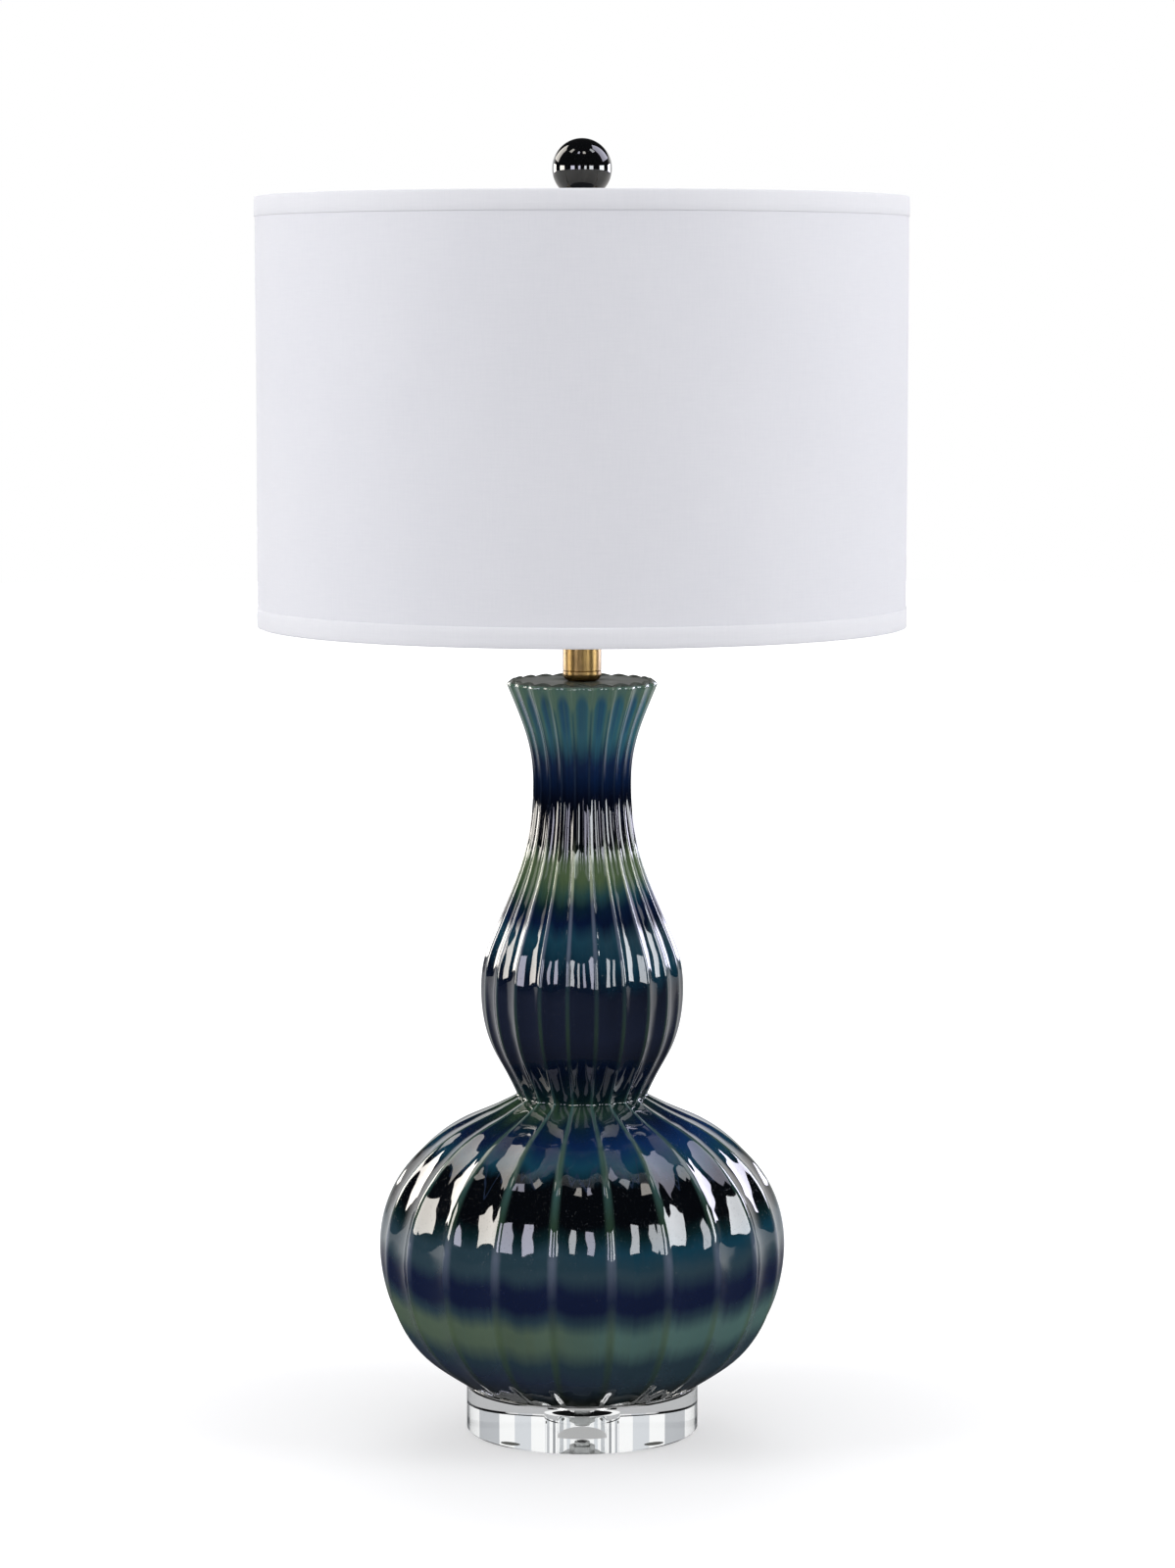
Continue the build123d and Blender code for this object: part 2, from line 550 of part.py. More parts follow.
def centre_contact():
    """Springy tab on the switch block that touches the bulb's tip."""
    knee = CONTACT_FOOT + CONTACT_FOOT_LENGTH / 2 - CONTACT_THICK / 2
    foot = Pos(CONTACT_FOOT, 0, screw_shell_z + CONTACT_THICK / 2) * Box(CONTACT_FOOT_LENGTH, CONTACT_WIDTH, CONTACT_THICK)
    rise = Pos(knee, 0, screw_shell_z + CONTACT_RISE / 2) * Box(CONTACT_THICK, CONTACT_WIDTH, CONTACT_RISE)
    start = knee - CONTACT_THICK / 2
    middle = Pos((start + CONTACT_REACH) / 2, 0, screw_shell_z + CONTACT_RISE - CONTACT_THICK / 2)
    top = middle * Box(CONTACT_REACH - start, CONTACT_WIDTH, CONTACT_THICK)
    return foot + rise + top


def switch_shaft():
    start = SHAFT_START + SHAFT_CLEARANCE
    length = shell_radius + SHAFT_REACH - start
    axis = Plane(origin=(0, -start, shaft_z), z_dir=(0, -1, 0))
    return extrude(axis * Circle(SHAFT_RADIUS), length - KNOB_LENGTH / 2)


def switch_knob():
    """Ribbed turn knob, with a blind hole that takes the end of the shaft."""
    front = shell_radius + SHAFT_REACH
    axis = Plane(origin=(0, -front + KNOB_LENGTH, shaft_z), z_dir=(0, -1, 0))
    body = extrude(axis * Circle(KNOB_RADIUS), KNOB_LENGTH)
    body = chamfer(body.edges().filter_by(GeomType.CIRCLE), KNOB_EDGE)
    for n in range(KNOB_GRIPS):
        angle = n * 2 * pi / KNOB_GRIPS
        groove = axis * Pos(KNOB_RADIUS * cos(angle), KNOB_RADIUS * sin(angle)) * Circle(KNOB_GRIP_RADIUS)
        body = body - extrude(groove, KNOB_LENGTH)
    return body - extrude(axis * Circle(SHAFT_RADIUS + SHAFT_CLEARANCE), KNOB_LENGTH / 2)


def bulb_cap():
    low = bulb_z + BULB_TIP_HEIGHT
    cup = turned([(0, low), (BULB_TIP_RADIUS + CAP_END_MARGIN, low), (BULB_CAP_RADIUS - CAP_TAPER, low + CAP_TAPER_LOW),
                  (BULB_CAP_RADIUS, low + CAP_TAPER_HIGH), (BULB_CAP_RADIUS, low + BULB_CAP_HEIGHT), (0, low + BULB_CAP_HEIGHT)])
    return cup


def bulb_tip():
    low = bulb_z
    return turned([(0, low), (BULB_TIP_RADIUS * TIP_FLAT, low), (BULB_TIP_RADIUS, low + TIP_CONE_RISE),
                   (BULB_TIP_RADIUS, low + TIP_CONE_RISE + TIP_BAND),
                   (BULB_TIP_RADIUS + TIP_COLLAR, low + BULB_TIP_HEIGHT), (0, low + BULB_TIP_HEIGHT)])


def bulb_housing():
    low = bulb_z + BULB_TIP_HEIGHT + BULB_CAP_HEIGHT
    high = low + HOUSING_HEIGHT
    edge = bulb_edge_radius()
    side = Spline((BULB_CAP_RADIUS, 0, low), (0.5 * (BULB_CAP_RADIUS + edge) - HOUSING_WAIST, 0, low + 0.5 * HOUSING_HEIGHT),
                  (edge, 0, high))
    rest = Polyline((edge, 0, high), (0, 0, high), (0, 0, low), (BULB_CAP_RADIUS, 0, low))
    return revolve(make_face([side, rest]), Axis.Z)


def bulb_centre():
    return bulb_z + BULB_LENGTH - BULB_RADIUS


def bulb_edge_radius():
    """Radius at which the diffuser meets the housing."""
    high = bulb_z + BULB_TIP_HEIGHT + BULB_CAP_HEIGHT + HOUSING_HEIGHT
    return sqrt(BULB_RADIUS ** 2 - (bulb_centre() - high) ** 2)


def bulb_diffuser():
    seam = bulb_z + BULB_TIP_HEIGHT + BULB_CAP_HEIGHT + HOUSING_HEIGHT
    ball = Pos(0, 0, bulb_centre()) * Sphere(BULB_RADIUS)
    hollow = Pos(0, 0, bulb_centre()) * Sphere(BULB_RADIUS - DIFFUSER_WALL)
    below = disc(2 * BULB_RADIUS, seam - 2 * BULB_RADIUS, 2 * BULB_RADIUS)
    return ball - hollow - below


def led_board():
    seam = bulb_z + BULB_TIP_HEIGHT + BULB_CAP_HEIGHT + HOUSING_HEIGHT
    return disc(bulb_edge_radius() - BOARD_MARGIN, seam, BOARD_THICK)


def shade_ring_radius():
    skins = TAPE_THICK + FABRIC_THICK + LINER_THICK + 3 * SKIN_GAP
    return SHADE_RADIUS - skins - RING_WIRE


def wire_ring(z):
    return Pos(0, 0, z) * Torus(shade_ring_radius(), RING_WIRE)


def shade_spider():
    """Washer that sits on the harp, with three arms that drop from the top ring."""
    ring = shade_ring_radius()
    arm_z = hub_z + HUB_THICK / 2
    start = WASHER_HUB_RADIUS - ARM_WIRE
    path = FilletPolyline((start, 0, arm_z), (ring, 0, arm_z), (ring, 0, shade_top - RING_DROP), radius=ARM_BEND)
    arm = sweep(Plane(origin=(start, 0, arm_z), z_dir=(1, 0, 0)) * Circle(ARM_WIRE), path=path)
    spider = tube(WASHER_HUB_RADIUS, STUD_RADIUS + STUD_CLEARANCE, hub_z, HUB_THICK)
    for n in range(SPIDER_ARMS):
        spider = spider + Rot(0, 0, 90 + n * 360 / SPIDER_ARMS) * arm
    return spider


def shade_fabric():
    outer = SHADE_RADIUS - TAPE_THICK - SKIN_GAP
    low = shade_bottom + TAPE_THICK + SKIN_GAP
    return tube(outer, outer - FABRIC_THICK, low, shade_top - shade_bottom - 2 * (TAPE_THICK + SKIN_GAP))


def shade_liner():
    outer = SHADE_RADIUS - TAPE_THICK - FABRIC_THICK - 2 * SKIN_GAP
    low = shade_bottom + TAPE_THICK + SKIN_GAP
    return tube(outer, outer - LINER_THICK, low, shade_top - shade_bottom - 2 * (TAPE_THICK + SKIN_GAP))


def hem_tape(rim_z, inward):
    """Tape folded over a rim: inward is -1 where the skins lie below the rim, 1 where above."""
    inner = shade_ring_radius() - RING_WIRE - SKIN_GAP - TAPE_RING_GAP
    leg, short_leg, cap = (rim_z + inward * s for s in (TAPE_OUTER_LEG, TAPE_INNER_LEG, TAPE_THICK))
    return turned([(SHADE_RADIUS, rim_z), (SHADE_RADIUS, leg), (SHADE_RADIUS - TAPE_THICK, leg),
                   (SHADE_RADIUS - TAPE_THICK, cap), (inner, cap), (inner, short_leg),
                   (inner - TAPE_THICK, short_leg), (inner - TAPE_THICK, rim_z)])


def finial_neck():
    low = hub_z + HUB_THICK + FINIAL_GAP
    bore = STUD_RADIUS + THREAD_CLEARANCE
    shelf = low + FINIAL_FOOT_HEIGHT
    return turned([(bore, low), (FINIAL_FOOT_RADIUS - FINIAL_FOOT_EDGE, low), (FINIAL_FOOT_RADIUS, low + FINIAL_FOOT_EDGE),
                   (FINIAL_FOOT_RADIUS, shelf), (FINIAL_NECK_RADIUS, shelf + FINIAL_FOOT_TAPER), (FINIAL_NECK_RADIUS, ball_seat_z),
                   (0, ball_seat_z), (0, ball_seat_z - FINIAL_ROOF), (bore, ball_seat_z - FINIAL_ROOF)])


def finial_ball():
    seat_drop = sqrt(BALL_RADIUS ** 2 - (FINIAL_NECK_RADIUS + BALL_SEAT) ** 2)
    ball = Pos(0, 0, ball_seat_z + seat_drop) * Sphere(BALL_RADIUS)
    return ball - disc(BALL_RADIUS, ball_seat_z - BALL_RADIUS, BALL_RADIUS)


pieces = {
    "base_bumpers": bumpers(),
    "clear_base": clear_base(),
    "foot_gasket": tube(gasket_radius, gasket_radius - GASKET_WIDTH, base_top, GASKET_THICK),
    "base_washer": tube(WASHER_RADIUS, pipe_hole, washer_z, WASHER_THICK),
    "base_nut": hex_nut(nut_z, NUT_HEIGHT),
    "lamp_pipe": tube(PIPE_RADIUS, PIPE_BORE, pipe_z, dome_z - pipe_z),
    "gourd_lower": gourd_lower(),
    "gourd_upper": gourd_upper(),
    "gourd_neck": gourd_neck(),
    "cord_bushing": cord_bushing(),
    "neck_collar": neck_collar(),
    "neck_tube": neck_tube(),
    "neck_cap_ring": tube(NECK_RADIUS + CAP_RING_LEDGE, pipe_hole, neck_top, CAP_RING_THICK),
    "harp_saddle": harp_saddle(),
    "saddle_nut": hex_nut(saddle_nut_z, NUT_HEIGHT),
    "socket_cap": socket_cap(),
    "cap_screw": cap_screw(),
    "socket_shell": socket_shell(),
    "socket_liner": socket_liner(),
    "switch_block": switch_block(),
    "terminal_screws": terminal_screws(),
    "screw_shell": screw_shell(),
    "centre_contact": centre_contact(),
    "switch_shaft": switch_shaft(),
    "switch_knob": switch_knob(),
    "bulb_tip": bulb_tip(),
    "bulb_cap": bulb_cap(),
    "bulb_housing": bulb_housing(),
    "led_board": led_board(),
    "bulb_diffuser": bulb_diffuser(),
    "harp_wire": harp_wire(),
    "harp_stud": harp_stud(),
    "ferrule_left": ferrule(-1),
    "ferrule_right": ferrule(1),
    "shade_spider": shade_spider(),
    "shade_top_ring": wire_ring(shade_top - RING_DROP),
    "shade_bottom_ring": wire_ring(shade_bottom + RING_DROP),
    "shade_liner": shade_liner(),
    "shade_fabric": shade_fabric(),
    "shade_top_tape": hem_tape(shade_top, -1),
    "shade_bottom_tape": hem_tape(shade_bottom, 1),
    "finial_neck": finial_neck(),
    "finial_ball": finial_ball(),
}

for node, shape in pieces.items():
    export_step(shape, f"parts/{node}.step")
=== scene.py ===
"""Double gourd table lamp: the finish of every piece, built around the lamp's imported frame.

Metres, +Z up, front towards -Y. The sections follow the lamp as it is put together, from the
soft feet to the finial, after the camera and the studio that it stands in.
"""
from math import cos, hypot, pi, radians, sin

import bpy
import numpy as np
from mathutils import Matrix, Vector


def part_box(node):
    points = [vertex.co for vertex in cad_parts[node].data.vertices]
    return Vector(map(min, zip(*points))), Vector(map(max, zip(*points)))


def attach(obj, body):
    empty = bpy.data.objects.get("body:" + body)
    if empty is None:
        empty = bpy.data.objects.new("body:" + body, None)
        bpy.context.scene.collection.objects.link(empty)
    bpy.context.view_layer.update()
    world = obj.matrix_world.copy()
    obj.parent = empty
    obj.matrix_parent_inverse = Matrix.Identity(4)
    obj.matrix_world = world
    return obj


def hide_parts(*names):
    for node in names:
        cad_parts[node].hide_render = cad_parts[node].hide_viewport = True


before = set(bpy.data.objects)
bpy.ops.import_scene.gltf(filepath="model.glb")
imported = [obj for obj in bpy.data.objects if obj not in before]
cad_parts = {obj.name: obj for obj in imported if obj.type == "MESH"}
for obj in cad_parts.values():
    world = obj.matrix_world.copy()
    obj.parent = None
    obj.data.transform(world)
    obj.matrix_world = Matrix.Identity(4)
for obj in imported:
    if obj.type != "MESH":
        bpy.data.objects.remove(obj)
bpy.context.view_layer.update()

# Camera. It stands 2.8 m in front of the lamp at the height of the shade, and looks down by
# 6 degrees, so the top plate and the shade's rims show as thin ellipses.
EYE = Vector((0.0034, -2.7851, 0.7099))
LOOK_DOWN = radians(6.064)
LENS_MM = 102.1
FILM_MM = 36.0

scene = bpy.context.scene
scene.view_settings.view_transform = "Standard"
lens = bpy.data.cameras.new("camera")
lens.sensor_fit = "VERTICAL"
lens.sensor_height = FILM_MM
lens.lens = LENS_MM
camera = bpy.data.objects.new("camera", lens)
camera.location = EYE
camera.rotation_euler = (pi / 2 - LOOK_DOWN, 0, 0)
scene.collection.objects.link(camera)
scene.camera = camera


# Studio. White paper behind the lamp, a pale floor that keeps a soft shadow, and three large soft
# lamps. Tall windows and soft boxes stand round it for the glossy surfaces alone, and grey cards
# for the clear disc alone.
class Field:
    """A socket that can stand in a formula: each operation on it adds a Math node."""

    def __init__(self, wiring, socket):
        self.wiring, self.socket = wiring, socket

    def math(self, operation, *values):
        return self.wiring.make("ShaderNodeMath", {"operation": operation}, dict(enumerate(values)))

    def __add__(self, other):
        return self.math("ADD", self, other)

    def __sub__(self, other):
        return self.math("SUBTRACT", self, other)

    def __rsub__(self, other):
        return self.math("SUBTRACT", other, self)

    def __mul__(self, other):
        return self.math("MULTIPLY", self, other)

    def __truediv__(self, other):
        return self.math("DIVIDE", self, other)

    def __pow__(self, other):
        return self.math("POWER", self, other)

    def __abs__(self):
        return self.math("ABSOLUTE", self)

    def greater(self, other):
        return self.math("MAXIMUM", self, other)

    __radd__ = __add__
    __rmul__ = __mul__

    def rise(self, low, high):
        """0 below low, 1 above high, and smooth between them. Low may be the larger."""
        return self.wiring.make("ShaderNodeMapRange", {"interpolation_type": "SMOOTHSTEP"},
                                {0: self, 1: low, 2: high, 3: 0.0, 4: 1.0})


class Wiring:
    """The nodes of a material or of the world, made by calls."""

    def __init__(self, tree):
        self.tree = tree

    def feed(self, socket, value):
        if isinstance(value, Field):
            self.tree.links.new(value.socket, socket)
        else:
            socket.default_value = value

    def make(self, kind, settings, sockets, output=0):
        """One node: its type, its settings, then the values or links of its sockets."""
        node = self.tree.nodes.new(kind)
        for name, value in settings.items():
            if name == "stops":
                self.set_stops(node.color_ramp.elements, value)
            else:
                setattr(node, name, value)
        for name, value in sockets.items():
            self.feed(node.inputs[name], value)
        return Field(self, node.outputs[output])

    @staticmethod
    def set_stops(elements, stops):
        while len(elements) < len(stops):
            elements.new(1.0)
        for element, (place, colour) in zip(elements, stops):
            element.position = place
            element.color = colour

    def mix(self, share, first, second):
        return self.make("ShaderNodeMix", {"data_type": "RGBA"}, {0: share, 6: first, 7: second}, 2)

    def ramp(self, field, stops):
        return self.make("ShaderNodeValToRGB", {"stops": stops}, {0: field})

    def noise(self, vector, scale, detail=2.0, roughness=0.5):
        sockets = {"Vector": vector, "Scale": scale, "Detail": detail, "Roughness": roughness}
        return self.make("ShaderNodeTexNoise", {}, sockets)

    def here(self):
        """The point on the surface, in the lamp's own frame."""
        return self.make("ShaderNodeTexCoord", {}, {}, "Object")

    def parts_of(self, vector):
        split = self.make("ShaderNodeSeparateXYZ", {}, {0: vector})
        return [Field(self, socket) for socket in split.socket.node.outputs]

    def join(self, x, y, z):
        return self.make("ShaderNodeCombineXYZ", {}, {0: x, 1: y, 2: z})


class Finish(Wiring):
    """A material with one Principled shader."""

    def __init__(self, name, **plain):
        self.material = bpy.data.materials.new(name)
        self.material.use_nodes = True
        super().__init__(self.material.node_tree)
        self.shader = self.tree.nodes["Principled BSDF"]
        for socket, value in plain.items():
            self.feed(self.shader.inputs[socket.replace("_", " ")], value)

    def bump(self, height, depth, strength=1.0):
        """Relief of the given depth in metres where height goes from 0 to 1."""
        sockets = {"Strength": strength, "Distance": depth, "Height": height}
        self.feed(self.shader.inputs["Normal"], self.make("ShaderNodeBump", {}, sockets))


def paint(red, green, blue):
    """A colour as a paint chart gives it, 0 to 255, made linear."""
    linear = [pow((c / 255 + 0.055) / 1.055, 2.4) if c > 10 else c / 3295 for c in (red, green, blue)]
    return (*linear, 1.0)


def grid_faces(rows, columns, wrap=True):
    """Quads of a grid of rows by columns, closed round the columns if wrap is true."""
    across = columns if wrap else columns - 1
    row, column = np.meshgrid(np.arange(rows - 1), np.arange(across), indexing="ij")
    after = (column + 1) % columns
    here, above = row * columns, (row + 1) * columns
    corners = [here + column, here + after, above + after, above + column]
    return np.stack(corners, axis=-1).reshape(-1, 4).tolist()


def mesh_object(name, points, faces, finish):
    mesh = bpy.data.meshes.new(name)
    mesh.from_pydata([tuple(p) for p in points], [], faces)
    mesh.polygons.foreach_set("use_smooth", [True] * len(mesh.polygons))
    mesh.materials.append(finish.material)
    piece = bpy.data.objects.new(name, mesh)
    scene.collection.objects.link(piece)
    return piece


BLACK, WHITE = (0, 0, 0, 1), (1, 1, 1, 1)
FILL_LIGHT = 0.74           # of the world, on what isn't glossy
DARK_ROOM = 0.012           # of the world where a glossy surface doesn't see the paper
PAPER_SIDES = (0.5, 0.85)   # how far a ray heads away from the camera where the paper comes in
PAPER_TOP = (0.34, 0.22)    # sine of the elevation where a glossy surface sees the paper end
FLOOR_RINGS = (0.05, 0.4, 1.2, 3.0, 9.0)
FLOOR_SIDES = 96
FLOOR_GREY = paint(196, 196, 198)
FLOOR_MIRRORED = paint(84, 86, 92)   # the floor as the glaze and the metal reflect it
FLOOR_LIFT = 0.42           # white that camera rays add to the lit floor near the lamp
FLOOR_TURNS_WHITE = (0.15, 0.9)      # distance from the lamp over which that white grows to all of it
FLOOR_BEHIND = (0.05, 0.6)  # distance behind the lamp where glossy surfaces see the white as well


def sight_of(wiring):
    """Whether a ray comes from the camera or through clear matter, and whether from a mirror."""
    path = wiring.make("ShaderNodeLightPath", {}, {}).socket.node.outputs
    camera_ray, clear_ray, glossy_ray = (Field(wiring, path[f"Is {kind} Ray"])
                                         for kind in ("Camera", "Transmission", "Glossy"))
    return camera_ray.greater(clear_ray), glossy_ray


studio = bpy.data.worlds.new("studio")
scene.world = studio
studio.use_nodes = True
air = Wiring(studio.node_tree)
direct, mirrored = sight_of(air)
heading, away, up = air.parts_of(air.make("ShaderNodeTexCoord", {}, {}, "Generated"))
paper = away.rise(*PAPER_SIDES) * up.rise(*PAPER_TOP)
shown_white = direct.greater(mirrored * paper)
room = (1 - mirrored) * FILL_LIGHT + mirrored * DARK_ROOM
backdrop = studio.node_tree.nodes["Background"]
air.feed(backdrop.inputs["Color"], WHITE)
air.feed(backdrop.inputs["Strength"], shown_white + (1 - shown_white) * room)

ground = Finish("pale_floor", Roughness=0.9, Specular_IOR_Level=0.0, Emission_Strength=1.0)
direct, mirrored = sight_of(ground)
ground.feed(ground.shader.inputs["Base Color"], ground.mix(mirrored, FLOOR_GREY, FLOOR_MIRRORED))
sideways, behind, level = ground.parts_of(ground.here())
distance = (sideways * sideways + behind * behind) ** 0.5
shown_white = direct.greater(mirrored * behind.rise(*FLOOR_BEHIND))
glow = shown_white * (FLOOR_LIFT + (1 - FLOOR_LIFT) * distance.rise(*FLOOR_TURNS_WHITE))
ground.feed(ground.shader.inputs["Emission Color"], ground.mix(glow, BLACK, WHITE))
floor_turn = np.linspace(0, 2 * pi, FLOOR_SIDES, endpoint=False)
floor_spots = [(r * cos(a), r * sin(a), 0.0) for r in FLOOR_RINGS for a in floor_turn]
floor_faces = grid_faces(len(FLOOR_RINGS), FLOOR_SIDES) + [list(range(FLOOR_SIDES))]
floor = mesh_object("floor", floor_spots, floor_faces, ground)


LAMP_AIM = Vector((0, 0, 0.4))


def soft_lamp(name, azimuth, elevation, distance, size, power):
    """A square diffuse lamp that faces the lamp's middle. Azimuth 0 is the camera's side."""
    light = bpy.data.lights.new(name, "AREA")
    light.shape, light.size, light.energy = "SQUARE", size, power
    lamp = bpy.data.objects.new(name, light)
    side, height = radians(azimuth), radians(elevation)
    out = Vector((sin(side) * cos(height), -cos(side) * cos(height), sin(height)))
    lamp.location = LAMP_AIM + distance * out
    lamp.rotation_euler = out.to_track_quat("Z", "Y").to_euler()
    lamp.visible_glossy = False
    scene.collection.objects.link(lamp)


soft_lamp("left_lamp", -72, 30, 3.2, 1.5, 35)
soft_lamp("right_lamp", 72, 30, 3.2, 1.5, 34)
soft_lamp("back_lamp", 180, 40, 3.4, 1.8, 25)

WINDOW_DISTANCE = 1.35
WINDOW_LIGHT = 13.0
TINTS = {"daylight": (0.93, 0.96, 1.0, 1), "lavender": (0.84, 0.83, 1.0, 1),
         "warm": (1.0, 0.95, 0.88, 1)}
# Azimuth and width in degrees, height of the sill and of the top in metres, tint, share of the light.
WINDOWS = [(-10, 8, 0.38, 0.99, "lavender", 0.65), (13, 8, 0.38, 0.99, "daylight", 0.7),
           (-36, 15, 0.36, 0.99, "lavender", 0.75), (36, 15, 0.36, 0.99, "daylight", 0.8),
           (-82, 22, 0.34, 0.98, "warm", 1.0), (82, 22, 0.34, 0.98, "daylight", 1.0),
           (-128, 20, 0.34, 0.98, "warm", 0.9), (128, 20, 0.34, 0.98, "lavender", 0.9)]
# Soft boxes higher up: azimuth and width, (distance, height) of the near and of the far edge.
BOXES = [(-124, 34, (1.35, 1.14), (1.0, 1.9), "warm", 0.30),
         (112, 42, (1.35, 1.22), (0.9, 2.4), "lavender", 0.26),
         (-72, 20, (0.72, 2.4), (1.25, 2.4), "warm", 0.34),
         (74, 20, (0.72, 2.4), (1.25, 2.4), "daylight", 0.34),
         (-20, 12, (0.78, 2.4), (1.15, 2.4), "lavender", 0.45),
         (14, 16, (0.78, 2.4), (1.15, 2.4), "warm", 0.45)]
# Grey cards that only the clear disc shows: azimuth, width and strength.
CARDS = [(139, 18, 0.55), (-139, 18, 0.55), (160, 7, 0.75), (-160, 7, 0.75), (104, 12, 0.35),
         (-104, 12, 0.35)]
CARD_FOOT, CARD_TOP = 0.001, 0.7


def bright_pane(name, azimuth, width, edges, tint, strength, shown_by):
    """A pane that only glossy or only clear surfaces show. Edges are its (distance, height) ends."""
    pane = Finish(name, Base_Color=BLACK, Specular_IOR_Level=0.0,
                  Emission_Color=TINTS[tint], Emission_Strength=strength)
    pane.material.cycles.emission_sampling = "NONE"
    sides = [radians(azimuth + width * s) for s in (-0.5, 0.5)]
    spots = [(r * sin(a), -r * cos(a), h) for r, h in edges for a in sides]
    window = mesh_object(name, spots, grid_faces(2, 2, wrap=False), pane)
    for sense in ("camera", "diffuse", "glossy", "transmission", "shadow", "volume_scatter"):
        setattr(window, f"visible_{sense}", sense == shown_by)


for number, (azimuth, width, sill, top, tint, share) in enumerate(WINDOWS):
    edges = [(WINDOW_DISTANCE, sill), (WINDOW_DISTANCE, top)]
    bright_pane(f"window_{number}", azimuth, width, edges, tint, WINDOW_LIGHT * share, "glossy")
for number, (azimuth, width, near, far, tint, share) in enumerate(BOXES):
    bright_pane(f"soft_box_{number}", azimuth, width, [near, far], tint, WINDOW_LIGHT * share, "glossy")
for number, (azimuth, width, strength) in enumerate(CARDS):
    edges = [(WINDOW_DISTANCE, CARD_FOOT), (WINDOW_DISTANCE, CARD_TOP)]
    bright_pane(f"card_{number}", azimuth, width, edges, "daylight", strength, "transmission")


# Soft feet. Four clear rubber discs stuck under the base, with rounded lower edges. The rubber
# is a little cloudy and picks up dust.
def dress(node, finish):
    """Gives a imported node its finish."""
    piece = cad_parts[node]
    piece.data.materials.clear()
    piece.data.materials.append(finish.material)
    return piece


rubber = Finish("clear_rubber", Transmission_Weight=0.55, IOR=1.46, Roughness=0.4)
cloud = rubber.noise(rubber.here(), 900.0, 3.0)
cloudy = rubber.mix(cloud, paint(205, 207, 202), paint(232, 233, 230))
rubber.feed(rubber.shader.inputs["Base Color"], cloudy)
rubber.bump(cloud, 0.00005)
dress("base_bumpers", rubber)

# Clear disc. Cast acrylic 29 mm thick, turned and flame polished, with a small bevel at both
# edges. It shows the foam gasket and the nut's pocket through it.
SCUFF_ROUGHNESS = 0.05      # where the polish is scuffed
acrylic = Finish("clear_acrylic", Base_Color=(0.985, 0.995, 0.995, 1), Transmission_Weight=1.0, IOR=1.49)
scuff = acrylic.noise(acrylic.here(), 60.0, 4.0, 0.7)
acrylic.feed(acrylic.shader.inputs["Roughness"], scuff.rise(0.62, 0.85) * SCUFF_ROUGHNESS)
dress("clear_base", acrylic).visible_shadow = False

# Foam gasket. A thin white closed-cell ring between the disc and the ceramic, so that the
# glaze's foot doesn't scratch the acrylic.
foam = Finish("white_foam", Roughness=0.85)
cells = foam.make("ShaderNodeTexVoronoi", {}, {"Vector": foam.here(), "Scale": 2200.0})
foam.feed(foam.shader.inputs["Base Color"],
          foam.mix(cells, paint(226, 224, 214), paint(205, 202, 190)))
foam.bump(cells, 0.00006)
dress("foot_gasket", foam)


# Washer, nut and lamp pipe. Zinc plated steel: the pipe holds the disc, the ceramic, the neck
# and the socket together, with the nut in the pocket under the disc. The saddle's nut, the
# socket cap's screw and the switch's shaft are plated alike.
def satin_metal(name, colour, dull, stretch, roughness, depth, metallic=1.0):
    """Metal with fine marks from turning or drawing. Stretch is the marks' scale along X, Y and Z."""
    metal = Finish(name, Metallic=metallic)
    marks = metal.noise(metal.make("ShaderNodeMapping", {}, {0: metal.here(), 3: stretch}), 1.0, 3.0, 0.6)
    patches = metal.noise(metal.here(), 70.0, 3.0, 0.6)
    metal.feed(metal.shader.inputs["Base Color"], metal.mix(patches.rise(0.3, 0.75), colour, dull))
    metal.feed(metal.shader.inputs["Roughness"], roughness + marks * 0.14 + patches * 0.08 - 0.1)
    metal.bump(marks, depth)
    return metal


zinc = satin_metal("zinc_steel", paint(188, 190, 190), paint(160, 160, 156),
                   (400, 400, 900), 0.34, 0.00002)
for node in ("base_washer", "base_nut", "lamp_pipe", "saddle_nut", "cap_screw", "switch_shaft"):
    dress(node, zinc)

# Ceramic body. One slip-cast double gourd with 22 scooped flutes between fine raised ridges, a
# pinched waist and a flat top plate. The running glaze breaks pale on the ridges and pools dark.
FLUTES = 22
FLUTE_DEPTH = 0.0009        # least depth of a flute, and its growth with the radius
FLUTE_GROWTH = 0.024
RIDGE_BEAD = 0.085          # share of half a flute that the ridge's round top takes
FOOT_ARCH = 0.019           # height over which the flutes run out above the foot
FOOT_SHARE = 0.04           # of their depth that is left at the foot itself
ARCH_SOFT = 0.12            # how softly each flute's arch there is rounded
FOOT_RADIUS, WAIST_RADIUS, LIP_RADIUS, PLATE_RADIUS = 0.0735, 0.041, 0.0474, 0.045
LIP_DROP = 0.0022           # ridge tips below the top plate
RIM_SCALLOP = 0.0013        # rise of the rim from a ridge to the middle of a flute
MEAN_SCOOP = 0.45           # where in a flute the rim is at its own height
PIPE_HOLE = 0.00535
UNDERSIDE_INSETS = (0.030, 0.012, 0.0012)
PLATE_SHARES = (0.9, 0.6)
ROW_STEP = 0.0016
FOOT_ROWS = 10              # spline rows at the foot's arches that the mesh keeps
FINE_ROWS = 4               # rows of the spline for each row of the mesh
WAIST_ROUND = 0.0011        # how far the glaze rounds the crease at the waist
WAIST_REACH = 12            # spline rows to each side that the rounding averages
COLUMNS = 9                 # from a ridge to the middle of a flute, crowded towards the ridge
CROWDING = 1.35
